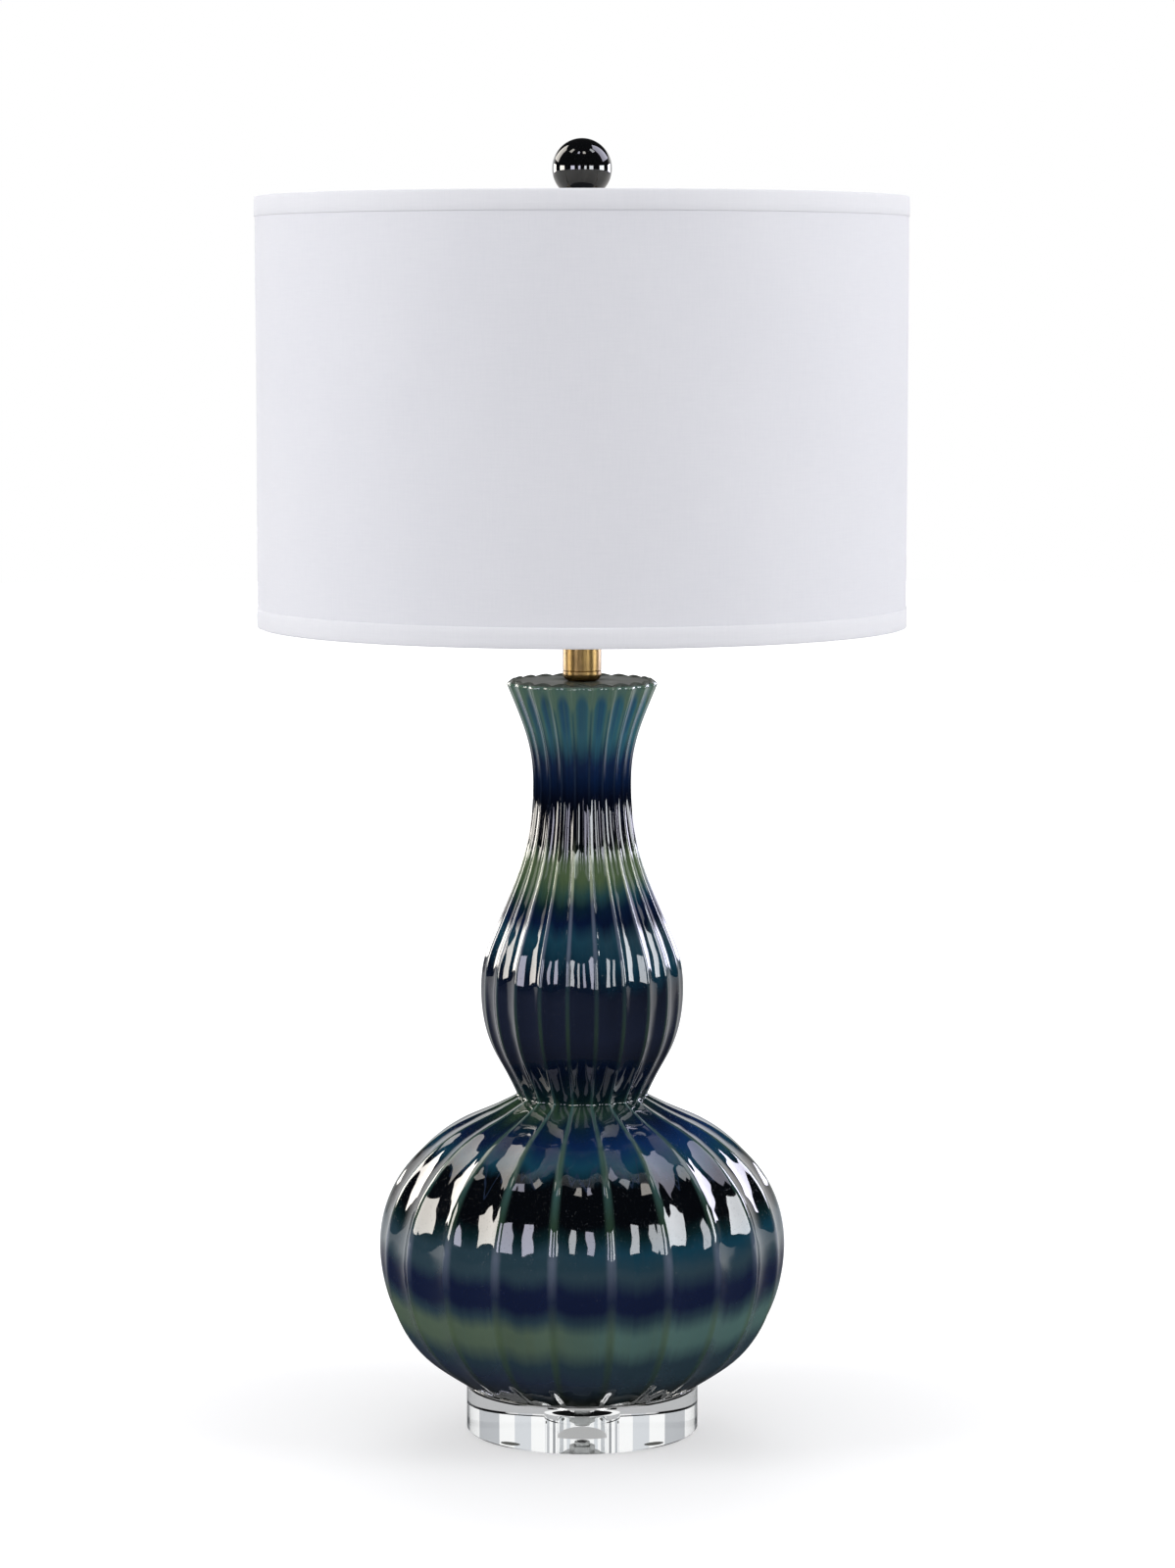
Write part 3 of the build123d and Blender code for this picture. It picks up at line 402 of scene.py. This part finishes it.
# Ridge radius at shares of each bulb's height, as the ceramic's moulds have them.
LOWER_BULB = [(0.0, FOOT_RADIUS), (0.05, 0.0876), (0.104, 0.1006), (0.236, 0.1188), (0.374, 0.127),
              (0.543, 0.1281), (0.703, 0.1181), (0.829, 0.0984), (0.905, 0.0777), (0.958, 0.056),
              (1.0, WAIST_RADIUS)]
UPPER_BULB = [(0.0, WAIST_RADIUS), (0.055, 0.0481), (0.12, 0.0572), (0.19, 0.0626), (0.26, 0.0641),
              (0.336, 0.0619), (0.405, 0.0552), (0.482, 0.0466), (0.558, 0.0389), (0.642, 0.0334),
              (0.734, 0.031), (0.818, 0.0318), (0.887, 0.0359), (0.945, 0.0415), (1.0, LIP_RADIUS)]


def smooth_line(points, step):
    """A natural cubic spline through the points, read at even steps along it."""
    p = np.array(points, float)
    knots = np.concatenate(([0], np.cumsum(np.linalg.norm(np.diff(p, axis=0), axis=1))))
    gaps = np.diff(knots)
    system, load = np.eye(len(p)), np.zeros((len(p), 2))
    for i in range(1, len(p) - 1):
        system[i, i - 1:i + 2] = gaps[i - 1], 2 * (gaps[i - 1] + gaps[i]), gaps[i]
        load[i] = 6 * ((p[i + 1] - p[i]) / gaps[i] - (p[i] - p[i - 1]) / gaps[i - 1])
    bend = np.linalg.solve(system, load)
    t = np.linspace(0, knots[-1], max(2, round(knots[-1] / step)))
    i = np.clip(np.searchsorted(knots, t) - 1, 0, len(p) - 2)
    a, b = ((knots[i + 1] - t) / gaps[i])[:, None], ((t - knots[i]) / gaps[i])[:, None]
    sag = ((a ** 3 - a) * bend[i] + (b ** 3 - b) * bend[i + 1]) * gaps[i][:, None] ** 2 / 6
    return a * p[i] + b * p[i + 1] + sag


foot_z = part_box("gourd_lower")[0].z
waist_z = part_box("gourd_lower")[1].z
plate_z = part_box("gourd_neck")[1].z
lip_z = plate_z - LIP_DROP
fine_step = ROW_STEP / FINE_ROWS
low_line = smooth_line([(r, foot_z + s * (waist_z - foot_z)) for s, r in LOWER_BULB], fine_step)
high_line = smooth_line([(r, waist_z + s * (lip_z - waist_z)) for s, r in UPPER_BULB], fine_step)
meridian = np.vstack([low_line, high_line[1:]])
waist_row = len(low_line)
weight = np.exp(-0.5 * (np.arange(-WAIST_REACH, WAIST_REACH + 1) * fine_step / WAIST_ROUND) ** 2)
rounded = meridian.copy()
for i in range(waist_row - WAIST_REACH - 4, waist_row + WAIST_REACH + 4):
    rounded[i] = weight @ meridian[i - WAIST_REACH:i + WAIST_REACH + 1] / weight.sum()
# The mesh keeps one row in four, every second one at the waist, and every one at the foot's arches.
at_waist = range(waist_row - WAIST_REACH - 2, waist_row + WAIST_REACH + 2, 2)
kept = set(range(0, len(meridian), FINE_ROWS)) | set(range(FOOT_ROWS)) | {len(meridian) - 1}
meridian = rounded[sorted(kept | set(at_waist))]

half = [1 - (n / COLUMNS) ** CROWDING for n in range(COLUMNS + 1)]
phases = sorted({round(-(1 - t) / 2, 6) for t in half} | {round((1 - t) / 2, 6) for t in half})[:-1]
columns = [(n, u) for n in range(FLUTES) for u in phases]
angle = np.array([(n + u) * 2 * pi / FLUTES - pi / 2 for n, u in columns])
ridge_share = np.array([1 - abs(2 * u) for n, u in columns])
eased = (np.sqrt(ridge_share ** 2 + RIDGE_BEAD ** 2) - RIDGE_BEAD) / (hypot(1, RIDGE_BEAD) - RIDGE_BEAD)
scoop = 1 - (1 - eased) ** 2


def lesser(a, b, soft):
    """The lesser of two numbers, rounded where they cross."""
    near = np.clip(0.5 + 0.5 * (b - a) / soft, 0, 1)
    return b + (a - b) * near - soft * near * (1 - near)


def fluted_ring(radius, z):
    """Radii of one section of the body, and how deep in its flute each point lies."""
    arch = lesser(scoop, (FOOT_SHARE + (z - foot_z) / FOOT_ARCH) * np.ones_like(scoop), ARCH_SOFT)
    return radius - (FLUTE_DEPTH + FLUTE_GROWTH * radius) * np.clip(arch, 0, 1)


# The lip turns over in a small round rim that rises over each flute, and the plate is flat inside it.
# Radius, height and share of the scallop.
shoulder = [(LIP_RADIUS - 0.0004, lip_z + 0.0010, 0.4), (LIP_RADIUS - 0.0010, lip_z + 0.0020, 0.8),
            (PLATE_RADIUS + 0.0006, plate_z + 0.0006, 1.0), (PLATE_RADIUS - 0.0004, plate_z + 0.0006, 1.0),
            (PLATE_RADIUS - 0.0012, plate_z + 0.0002, 0.5), (PLATE_RADIUS - 0.0022, plate_z, 0.0)]
levels = [(r, z, 0.0) for r, z in meridian] + shoulder
pipe_edge = np.full(len(columns), PIPE_HOLE)
foot_edge, plate_edge = fluted_ring(FOOT_RADIUS, foot_z), fluted_ring(levels[-1][0], plate_z)


def ring_at(radii, z):
    return np.column_stack([radii * np.cos(angle), radii * np.sin(angle), z * np.ones_like(angle)])


# From the pipe's hole out under the foot, up the outside, in over the plate, and down the hole.
rings = [ring_at(pipe_edge, foot_z)]
rings += [ring_at(foot_edge - inset, foot_z) for inset in UNDERSIDE_INSETS]
rings += [ring_at(fluted_ring(r, z), z + RIM_SCALLOP * share * (scoop - MEAN_SCOOP))
          for r, z, share in levels]
rings += [ring_at(plate_edge * share, plate_z) for share in PLATE_SHARES]
rings += [ring_at(pipe_edge, plate_z)]
count, last = len(columns), (len(rings) - 1) * len(columns)
shell_faces = grid_faces(len(rings), count)
shell_faces += [[n, last + n, last + (n + 1) % count, (n + 1) % count] for n in range(count)]

glaze = Finish("running_glaze", IOR=1.52)
body = mesh_object("gourd", np.vstack(rings), shell_faces, glaze)
hollow = body.data.attributes.new("hollow", "FLOAT", "POINT")
hollow.data.foreach_set("value", np.tile(scoop, len(rings)).astype(np.float32))

night, ink, navy, royal = paint(4, 6, 10), paint(7, 15, 32), paint(9, 22, 54), paint(14, 44, 88)
indigo, violet, slate, dusk = paint(18, 26, 46), paint(13, 20, 44), paint(40, 61, 72), paint(36, 48, 70)
teal, sea, spruce, moss = paint(18, 58, 76), paint(50, 118, 138), paint(11, 33, 37), paint(50, 72, 50)
sage, fern, cream, mist = paint(76, 94, 66), paint(64, 98, 96), paint(190, 198, 168), paint(108, 116, 136)
olive, lichen, verdigris = paint(24, 28, 22), paint(84, 102, 84), paint(78, 108, 104)
lip_blue, lip_green, plate_grey = paint(30, 66, 110), paint(92, 120, 104), paint(54, 64, 56)
# Height in millimetres and colour, for the glaze on the green side, on the blue side and on the
# ridges. A ramp holds 32 stops at most.
GREEN_SIDE = [(36, olive), (54, dusk), (66, slate), (79, lichen), (89, lichen), (97, slate), (104, navy),
              (116, navy), (125, slate), (138, slate), (147, spruce), (155, night), (180, night),
              (188, teal), (198, navy), (206, spruce), (213, moss), (220, spruce), (238, ink),
              (262, indigo), (286, indigo), (300, ink), (322, teal), (333, navy), (342, spruce),
              (350, moss), (368, sage), (377, spruce), (384, night), (408, ink), (434, indigo),
              (450, fern)]
BLUE_SIDE = [(36, olive), (54, slate), (67, slate), (79, verdigris), (88, verdigris), (97, slate),
             (104, navy), (114, navy), (126, slate), (140, teal), (149, spruce), (156, night),
             (177, night), (186, teal), (198, royal), (208, navy), (216, spruce), (226, ink), (244, ink),
             (262, indigo), (288, ink), (304, teal), (322, slate), (332, ink), (342, navy), (350, teal),
             (360, sage), (372, sage), (381, night), (410, violet), (430, royal), (446, sea)]
RIDGES = [(36, olive), (60, moss), (84, sage), (108, dusk), (132, mist), (150, moss), (172, fern),
          (190, sage), (212, fern), (232, indigo), (262, moss), (296, slate), (312, mist), (340, mist),
          (352, cream), (372, cream), (384, ink), (412, dusk), (440, slate), (462, fern), (477, cream)]


UNDER_LIP = (0.432, 0.456)  # heights over which the blue below the lip comes in
LOOPS_AT = 0.1935           # lowest height of the loops' hems
THREAD_ENDS = 0.362         # lowest height of the drops that the black threads end in
BLACK_ROUND = (0.3770, 0.3778)       # lower edge of the black that goes all round
BLACK_LOW = (0.352, 0.356)
BLACK_HIGH, MATT_HIGH = (0.420, 0.396), (0.436, 0.416)
SAGE_LOW, SAGE_HIGH = (0.322, 0.332), (0.374, 0.366)
RELIEF = 0.0009             # of waves, dry glaze and pits together


def by_height(stops):
    return [((mm / 1000 - foot_z) / (plate_z - foot_z), colour) for mm, colour in stops]


point = glaze.here()
x, y, z = glaze.parts_of(point)
round_it = glaze.make("ShaderNodeVectorMath", {"operation": "NORMALIZE"}, {0: glaze.join(x, y, 0.0)})
pool = glaze.make("ShaderNodeAttribute", {"attribute_name": "hollow"}, {}, "Fac")
threads = glaze.noise(round_it, 17.0, 3.0, 0.55)
tongues = glaze.noise(round_it, 7.0, 1.0)
broad = glaze.noise(point, 9.0, 2.0)
run = pool * (0.002 + tongues * 0.005) + threads * 0.007 + broad * 0.006
height = (z + run - 0.009 - foot_z) / (plate_z - foot_z)
side = x / 0.09 + (broad - 0.5) * 1.6 + (threads - 0.5) * 1.2
green = glaze.ramp(height, by_height(GREEN_SIDE))
blue = glaze.ramp(height, by_height(BLUE_SIDE))
pooled = glaze.mix(side.rise(-0.7, 0.9), green, blue)
ridge = glaze.ramp(height, by_height(RIDGES))
thin = pool.rise(0.32, 0.02) * (0.35 + 0.4 * threads)
glazed = glaze.mix(thin, pooled, ridge)
# Below the lip the glaze is blue in the flutes, with a pale green border that arches over each.
under_lip = z.rise(*UNDER_LIP)
lip_pool = under_lip * pool.rise(0.55, 0.95) * threads.rise(0.35, 0.6) * 0.6
glazed = glaze.mix(lip_pool, glazed, lip_blue)
arch_top = z + (1 - pool) * 0.010 + threads * 0.006
flank = pool.rise(0.62, 0.4) * pool.rise(0.06, 0.2)
border = under_lip * (flank * 0.55 + arch_top.rise(0.472, 0.4795) * 0.8)
glazed = glaze.mix(border, glazed, lip_green)
# On the lower bulb's shoulder it hangs in loops, each with a paler edge.
loops = glaze.noise(round_it, 21.0, 0.0)
hem = z + loops * 0.030 * pool - LOOPS_AT
loop_edge = hem.rise(-0.0022, -0.0009) * hem.rise(0.0014, 0.0002) * pool.rise(0.25, 0.5)
glazed = glaze.mix(loop_edge * 0.55, glazed, dusk)
flat_top = z.rise(plate_z - 0.0012, plate_z - 0.0004)
glazed = glaze.mix(flat_top, glazed, plate_grey)
# In the neck black glaze runs down in threads that end in drops. It and the sage band below it
# are dry and matt between the ridges.
strands = glaze.noise(round_it, 13.0, 1.0)
flames = glaze.noise(round_it, 19.0, 1.0)
drop_ends = THREAD_ENDS + tongues * 0.026
thread_width = 0.030 + (z - drop_ends).rise(0.005, 0.001) * 0.03
runs = (abs(strands - 0.5) / thread_width).rise(1.0, 0.8) * z.rise(drop_ends - 0.001, drop_ends)
all_round = (z - 0.004 * tongues - 0.044 * flames).rise(*BLACK_ROUND)
black = runs.greater(all_round) * z.rise(*BLACK_LOW) * z.rise(*MATT_HIGH)
glazed = glaze.mix(black * z.rise(*BLACK_HIGH) * 0.8, glazed, night)
glaze.feed(glaze.shader.inputs["Base Color"], glazed)
calm = z.rise(*SAGE_LOW) * z.rise(*SAGE_HIGH) * pool.rise(0.1, 0.4) * 0.85
glaze.feed(glaze.shader.inputs["Roughness"], 0.04 + flat_top * 0.4)
wavy = glaze.noise(point, 55.0, 1.0)
pits = glaze.noise(point, 1400.0, 1.0).rise(0.72, 0.8)
glaze.bump(wavy * 0.75 + black * 0.12 - pits * 0.06, RELIEF)
dry = glaze.make("ShaderNodeBsdfPrincipled", {},
                 {"Base Color": glazed, "Roughness": 0.6, "Specular IOR Level": 0.0})
shiny = Field(glaze, glaze.shader.outputs[0])
blend = glaze.make("ShaderNodeMixShader", {}, {0: black.greater(calm), 1: shiny, 2: dry})
glaze.feed(glaze.tree.nodes["Material Output"].inputs["Surface"], blend)

# The hole and spot face for the bush are cut at the back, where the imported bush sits. Its largest
# flat that looks outwards is the flange's, and gives the outlet's axis.
FLANGE_THICK, SLEEVE_RADIUS, FLANGE_RADIUS, BUSH_GAP = 0.002, 0.0055, 0.008, 0.0002
CUT_IN, CUT_OUT, CUT_CORE, CUT_SIDES = -0.014, 0.020, 0.0001, 64
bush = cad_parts["cord_bushing"].data
facings = {}
for face in bush.polygons:
    if face.normal.y > 0:
        way = tuple(round(part, 2) for part in face.normal)
        facings[way] = facings.get(way, Vector()) + face.area * face.normal
outlet_axis = max(facings.values(), key=lambda facing: facing.length).normalized()
bush_points = np.array([tuple(v.co) for v in bush.vertices])
middle = bush_points.mean(axis=0)
to_seat = ((bush_points - middle) @ np.array(outlet_axis)).max() - FLANGE_THICK
seat = Vector((0, middle[1], middle[2])) + outlet_axis * to_seat
hole, spot_face = SLEEVE_RADIUS + BUSH_GAP, FLANGE_RADIUS + BUSH_GAP
profile = [(CUT_CORE, CUT_IN), (hole, CUT_IN), (hole, 0.0), (spot_face, 0.0), (spot_face, CUT_OUT),
           (CUT_CORE, CUT_OUT)]
cut_turn = np.linspace(0, 2 * pi, CUT_SIDES, endpoint=False)
aim = outlet_axis.to_track_quat("Z", "Y").to_matrix()
cut_spots = [seat + aim @ Vector((r * cos(a), r * sin(a), h)) for r, h in profile for a in cut_turn]
near_cap = list(range(CUT_SIDES))[::-1]
far_cap = [(len(profile) - 1) * CUT_SIDES + n for n in range(CUT_SIDES)]
cutter = mesh_object("outlet_cutter", cut_spots,
                     grid_faces(len(profile), CUT_SIDES) + [near_cap, far_cap], glaze)
cut = body.modifiers.new("outlet", "BOOLEAN")
cut.operation, cut.solver, cut.object = "DIFFERENCE", "MANIFOLD", cutter
carved = bpy.data.meshes.new_from_object(body.evaluated_get(bpy.context.evaluated_depsgraph_get()))
body.modifiers.clear()
body.data = carved
bpy.data.objects.remove(cutter)
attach(body, "root")
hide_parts("gourd_lower", "gourd_upper", "gourd_neck")


# Outlet bush. A moulded black plastic bush with a rounded flange, pushed into the hole at the
# back, where a cord would come out. The switch's knob is of the same plastic.
def moulded(name, colour, worn, roughness, grain):
    """Moulded plastic: a fine spark-eroded grain, and random patches rubbed a little."""
    plastic = Finish(name)
    speck = plastic.noise(plastic.here(), grain, 3.0, 0.6)
    rubbed = plastic.noise(plastic.here(), 45.0, 2.0)
    plastic.feed(plastic.shader.inputs["Base Color"], plastic.mix(rubbed.rise(0.45, 0.8), colour, worn))
    plastic.feed(plastic.shader.inputs["Roughness"], roughness + speck * 0.2 - 0.1)
    plastic.bump(speck, 0.00003)
    return plastic


black_plastic = moulded("black_plastic", paint(18, 18, 19), paint(30, 30, 31), 0.45, 1500.0)
for node in ("cord_bushing", "switch_knob"):
    dress(node, black_plastic)

# Neck. Turned brass in a satin lacquer: a collar with a rounded foot on the top plate, a tube
# above a fine dark joint, and a cap ring under the harp's saddle.
LACQUERED = 0.72            # less of a mirror than bare brass
brass = satin_metal("satin_brass", paint(128, 103, 58), paint(102, 80, 42),
                    (40, 40, 1600), 0.30, 0.000002, LACQUERED)
for node in ("neck_collar", "neck_tube", "neck_cap_ring"):
    dress(node, brass)

# Harp saddle, wire, stud and ferrules. Steel strip and wire, plated in the same brass, and
# drawn, so the fine marks run along them.
plated = satin_metal("plated_harp", paint(206, 168, 98), paint(168, 130, 70),
                     (1200, 1200, 90), 0.3, 0.000015)
for node in ("harp_saddle", "harp_wire", "harp_stud", "ferrule_left", "ferrule_right"):
    dress(node, plated)

# Socket. A spun brass cap and shell over a pressed paper tube, with the switch block, its
# terminal screws, the screw shell and the sprung contact inside.
shell_brass = satin_metal("socket_brass", paint(216, 178, 108), paint(186, 146, 82),
                          (50, 50, 4200), 0.24, 0.00001)
for node in ("socket_cap", "socket_shell"):
    dress(node, shell_brass)
contact_brass = satin_metal("contact_brass", paint(200, 160, 84), paint(160, 122, 62),
                            (900, 900, 900), 0.36, 0.00001)
for node in ("terminal_screws", "centre_contact"):
    dress(node, contact_brass)
paper_tube = Finish("insulating_paper", Roughness=0.8)
upright = paper_tube.make("ShaderNodeMapping", {}, {0: paper_tube.here(), 3: (900, 900, 260)})
fibre = paper_tube.noise(upright, 1.0, 4.0)
paper_tube.feed(paper_tube.shader.inputs["Base Color"],
                paper_tube.mix(fibre.rise(0.35, 0.7), paint(176, 142, 96), paint(146, 112, 70)))
paper_tube.bump(fibre, 0.00006)
dress("socket_liner", paper_tube)
phenolic = moulded("phenolic", paint(30, 26, 24), paint(44, 38, 34), 0.5, 1200.0)
for node in ("switch_block", "bulb_tip"):
    dress(node, phenolic)
cap_metal = satin_metal("pressed_aluminium", paint(206, 206, 204), paint(178, 178, 176),
                        (90, 90, 2600), 0.3, 0.00002)
for node in ("screw_shell", "bulb_cap"):
    dress(node, cap_metal)

# Bulb. An LED bulb: a white moulded housing, the coated board with its diodes, and an opal
# globe over it that is a little translucent.
housing = moulded("bulb_plastic", paint(236, 236, 232), paint(226, 226, 220), 0.38, 1800.0)
dress("bulb_housing", housing)
opal = Finish("opal", Roughness=0.24, Subsurface_Weight=0.25, Subsurface_Radius=(0.004, 0.004, 0.0035))
haze = opal.noise(opal.here(), 30.0, 2.0)
opal.feed(opal.shader.inputs["Base Color"], opal.mix(haze, paint(240, 240, 236), paint(233, 234, 232)))
dress("bulb_diffuser", opal)
board = Finish("led_board", Roughness=0.5)
diode = board.make("ShaderNodeTexVoronoi", {}, {"Vector": board.here(), "Scale": 130.0})
board.feed(board.shader.inputs["Base Color"],
           board.mix(diode.rise(0.28, 0.24), paint(236, 236, 230), paint(232, 208, 96)))
dress("led_board", board)

# Shade frame. A washer held by three arms that drop to it from the top ring, and a plain bottom
# ring, all in pale plated wire.
wire = satin_metal("shade_wire", paint(206, 202, 188), paint(180, 172, 150),
                   (700, 700, 700), 0.3, 0.000015)
for node in ("shade_spider", "shade_top_ring", "shade_bottom_ring"):
    dress(node, wire)

# Shade liner. Translucent white styrene sheet that the cloth is laminated to, rolled into a
# drum. The lap of a real one isn't modelled.
styrene = Finish("styrene", Roughness=0.55)
mottle = styrene.noise(styrene.here(), 14.0, 3.0)
styrene.feed(styrene.shader.inputs["Base Color"],
             styrene.mix(mottle, paint(240, 239, 236), paint(232, 231, 230)))
styrene.bump(mottle, 0.0002)
dress("shade_liner", styrene)

# Shade cover and hem tapes. Fine off-white cloth stretched round the liner and lapped at the
# back, and tapes of the same cloth folded over both rims.
LAP_WIDTH = 0.012
LAP_PROUD = 0.00035
LAP_EDGE = 0.0012           # width over which the lap's edges slope
# Unevenness of the cloth: its size, its waves round the drum and its change of phase with height.
UNEVEN = [(0.00012, 9, 31), (0.00008, 23, -47)]
DRUM_COLUMNS = 288
WEAVE_PITCH = 0.00052


def woven(name, pale, deep, pitch):
    """Plain weave: threads cross over and under, with slubs and slight changes of shade."""
    cloth = Finish(name, Roughness=0.88, Sheen_Weight=0.25, Sheen_Roughness=0.5, Specular_IOR_Level=0.25)
    x, y, z = cloth.parts_of(cloth.here())
    around = cloth.make("ShaderNodeMath", {"operation": "ARCTAN2"}, {0: y, 1: x}) * shade_radius
    rows, picks = (z * (2 * pi / pitch)), (around * (2 * pi / pitch))
    weave = rows.math("SINE", rows) * picks.math("SINE", picks) * 0.5 + 0.5
    slub = cloth.noise(cloth.join(around * 60.0, 0.0, z * 900.0), 1.0, 3.0, 0.6)
    warp = cloth.noise(cloth.join(around * 900.0, 3.0, z * 60.0), 1.0, 3.0, 0.6)
    shade = cloth.noise(cloth.here(), 7.0, 3.0)
    tone = (slub + warp) * 0.35 + shade * 0.4 - 0.02
    cloth.feed(cloth.shader.inputs["Base Color"], cloth.mix(tone, deep, pale))
    cloth.bump(weave * 0.6 + (slub + warp) * 0.5, 0.00012, 0.7)
    return cloth


fabric_low, fabric_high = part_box("shade_fabric")
shade_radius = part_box("shade_bottom_tape")[1].x
linen = woven("white_linen", paint(240, 240, 245), paint(222, 223, 231), WEAVE_PITCH)
hem_cloth = woven("hem_cloth", paint(243, 243, 247), paint(226, 227, 234), WEAVE_PITCH)

cloth_outer, cloth_thick = fabric_high.x, 0.0005
drum_turn = np.linspace(0, 2 * pi, DRUM_COLUMNS, endpoint=False) + pi / 2


def drum(profile):
    """A ring swept round the shade from an outline of (radius, height), proud at the lapped seam."""
    spots = []
    for r, z in profile:
        for a in drum_turn:
            from_seam = abs((a - pi / 2 + pi) % (2 * pi) - pi) * r
            step = LAP_PROUD * max(0.0, min(1.0, (LAP_WIDTH / 2 - from_seam) / LAP_EDGE + 0.5))
            ease = sum(size * sin(waves * a + phase * z) for size, waves, phase in UNEVEN)
            spots.append(((r + step + ease) * cos(a), (r + step + ease) * sin(a), z))
    links = grid_faces(len(profile), DRUM_COLUMNS)
    end = (len(profile) - 1) * DRUM_COLUMNS
    links += [[end + n, end + (n + 1) % DRUM_COLUMNS, (n + 1) % DRUM_COLUMNS, n]
              for n in range(DRUM_COLUMNS)]
    return spots, links


heights = np.linspace(fabric_low.z, fabric_high.z, 40)
outline = [(cloth_outer, z) for z in heights] + [(cloth_outer - cloth_thick, z) for z in heights[::-1]]
cover = mesh_object("shade_cover", *drum(outline), linen)
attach(cover, "shade")
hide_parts("shade_fabric")


def tape(name, node, rim, inward):
    """A folded tape over one rim: a soft outer hem, a round fold and a short leg inside."""
    low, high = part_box(node)
    outer = high.x
    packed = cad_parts[node].data
    inside = min(hypot(v.co.x, v.co.y) for v in packed.vertices)
    leg = high.z - low.z
    thick, fold = 0.0004, 0.0009
    out = [(outer - 0.00025, leg), (outer, leg - 0.0005), (outer + 0.00015, leg * 0.6), (outer, leg * 0.3),
           (outer, fold), (outer - fold * 0.3, fold * 0.3), (outer - fold, 0.0)]
    back = [(inside + fold, 0.0), (inside + fold * 0.3, fold * 0.3), (inside, fold), (inside, leg * 0.6),
            (inside + thick, leg * 0.6), (inside + thick, thick + fold * 0.3), (inside + fold, thick)]
    under = [(outer - fold, thick), (outer - thick, thick + fold * 0.3), (outer - thick, leg)]
    outline = [(r, rim + inward * h) for r, h in out + back + under]
    hem = mesh_object(name, *drum(outline), hem_cloth)
    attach(hem, "shade")
    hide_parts(node)
    return hem


top_rim, bottom_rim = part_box("shade_top_tape")[1].z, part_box("shade_bottom_tape")[0].z
hems = [tape("top_hem", "shade_top_tape", top_rim, -1),
        tape("bottom_hem", "shade_bottom_tape", bottom_rim, 1)]

# Finial. A turned neck in black nickel, and a black ball with a deep polish that screws down
# on the harp's stud over the shade's washer.
nickel = satin_metal("black_nickel", paint(52, 52, 54), paint(38, 38, 40),
                     (60, 60, 3000), 0.26, 0.00001)
dress("finial_neck", nickel)
polish = Finish("black_polish", IOR=1.55, Coat_Weight=0.6, Coat_Roughness=0.02)
dust = polish.noise(polish.here(), 420.0, 2.0)
polish.feed(polish.shader.inputs["Base Color"],
            polish.mix(dust.rise(0.7, 0.85), paint(9, 10, 12), paint(16, 16, 18)))
polish.feed(polish.shader.inputs["Roughness"], 0.03 + dust * 0.03)
dress("finial_ball", polish)
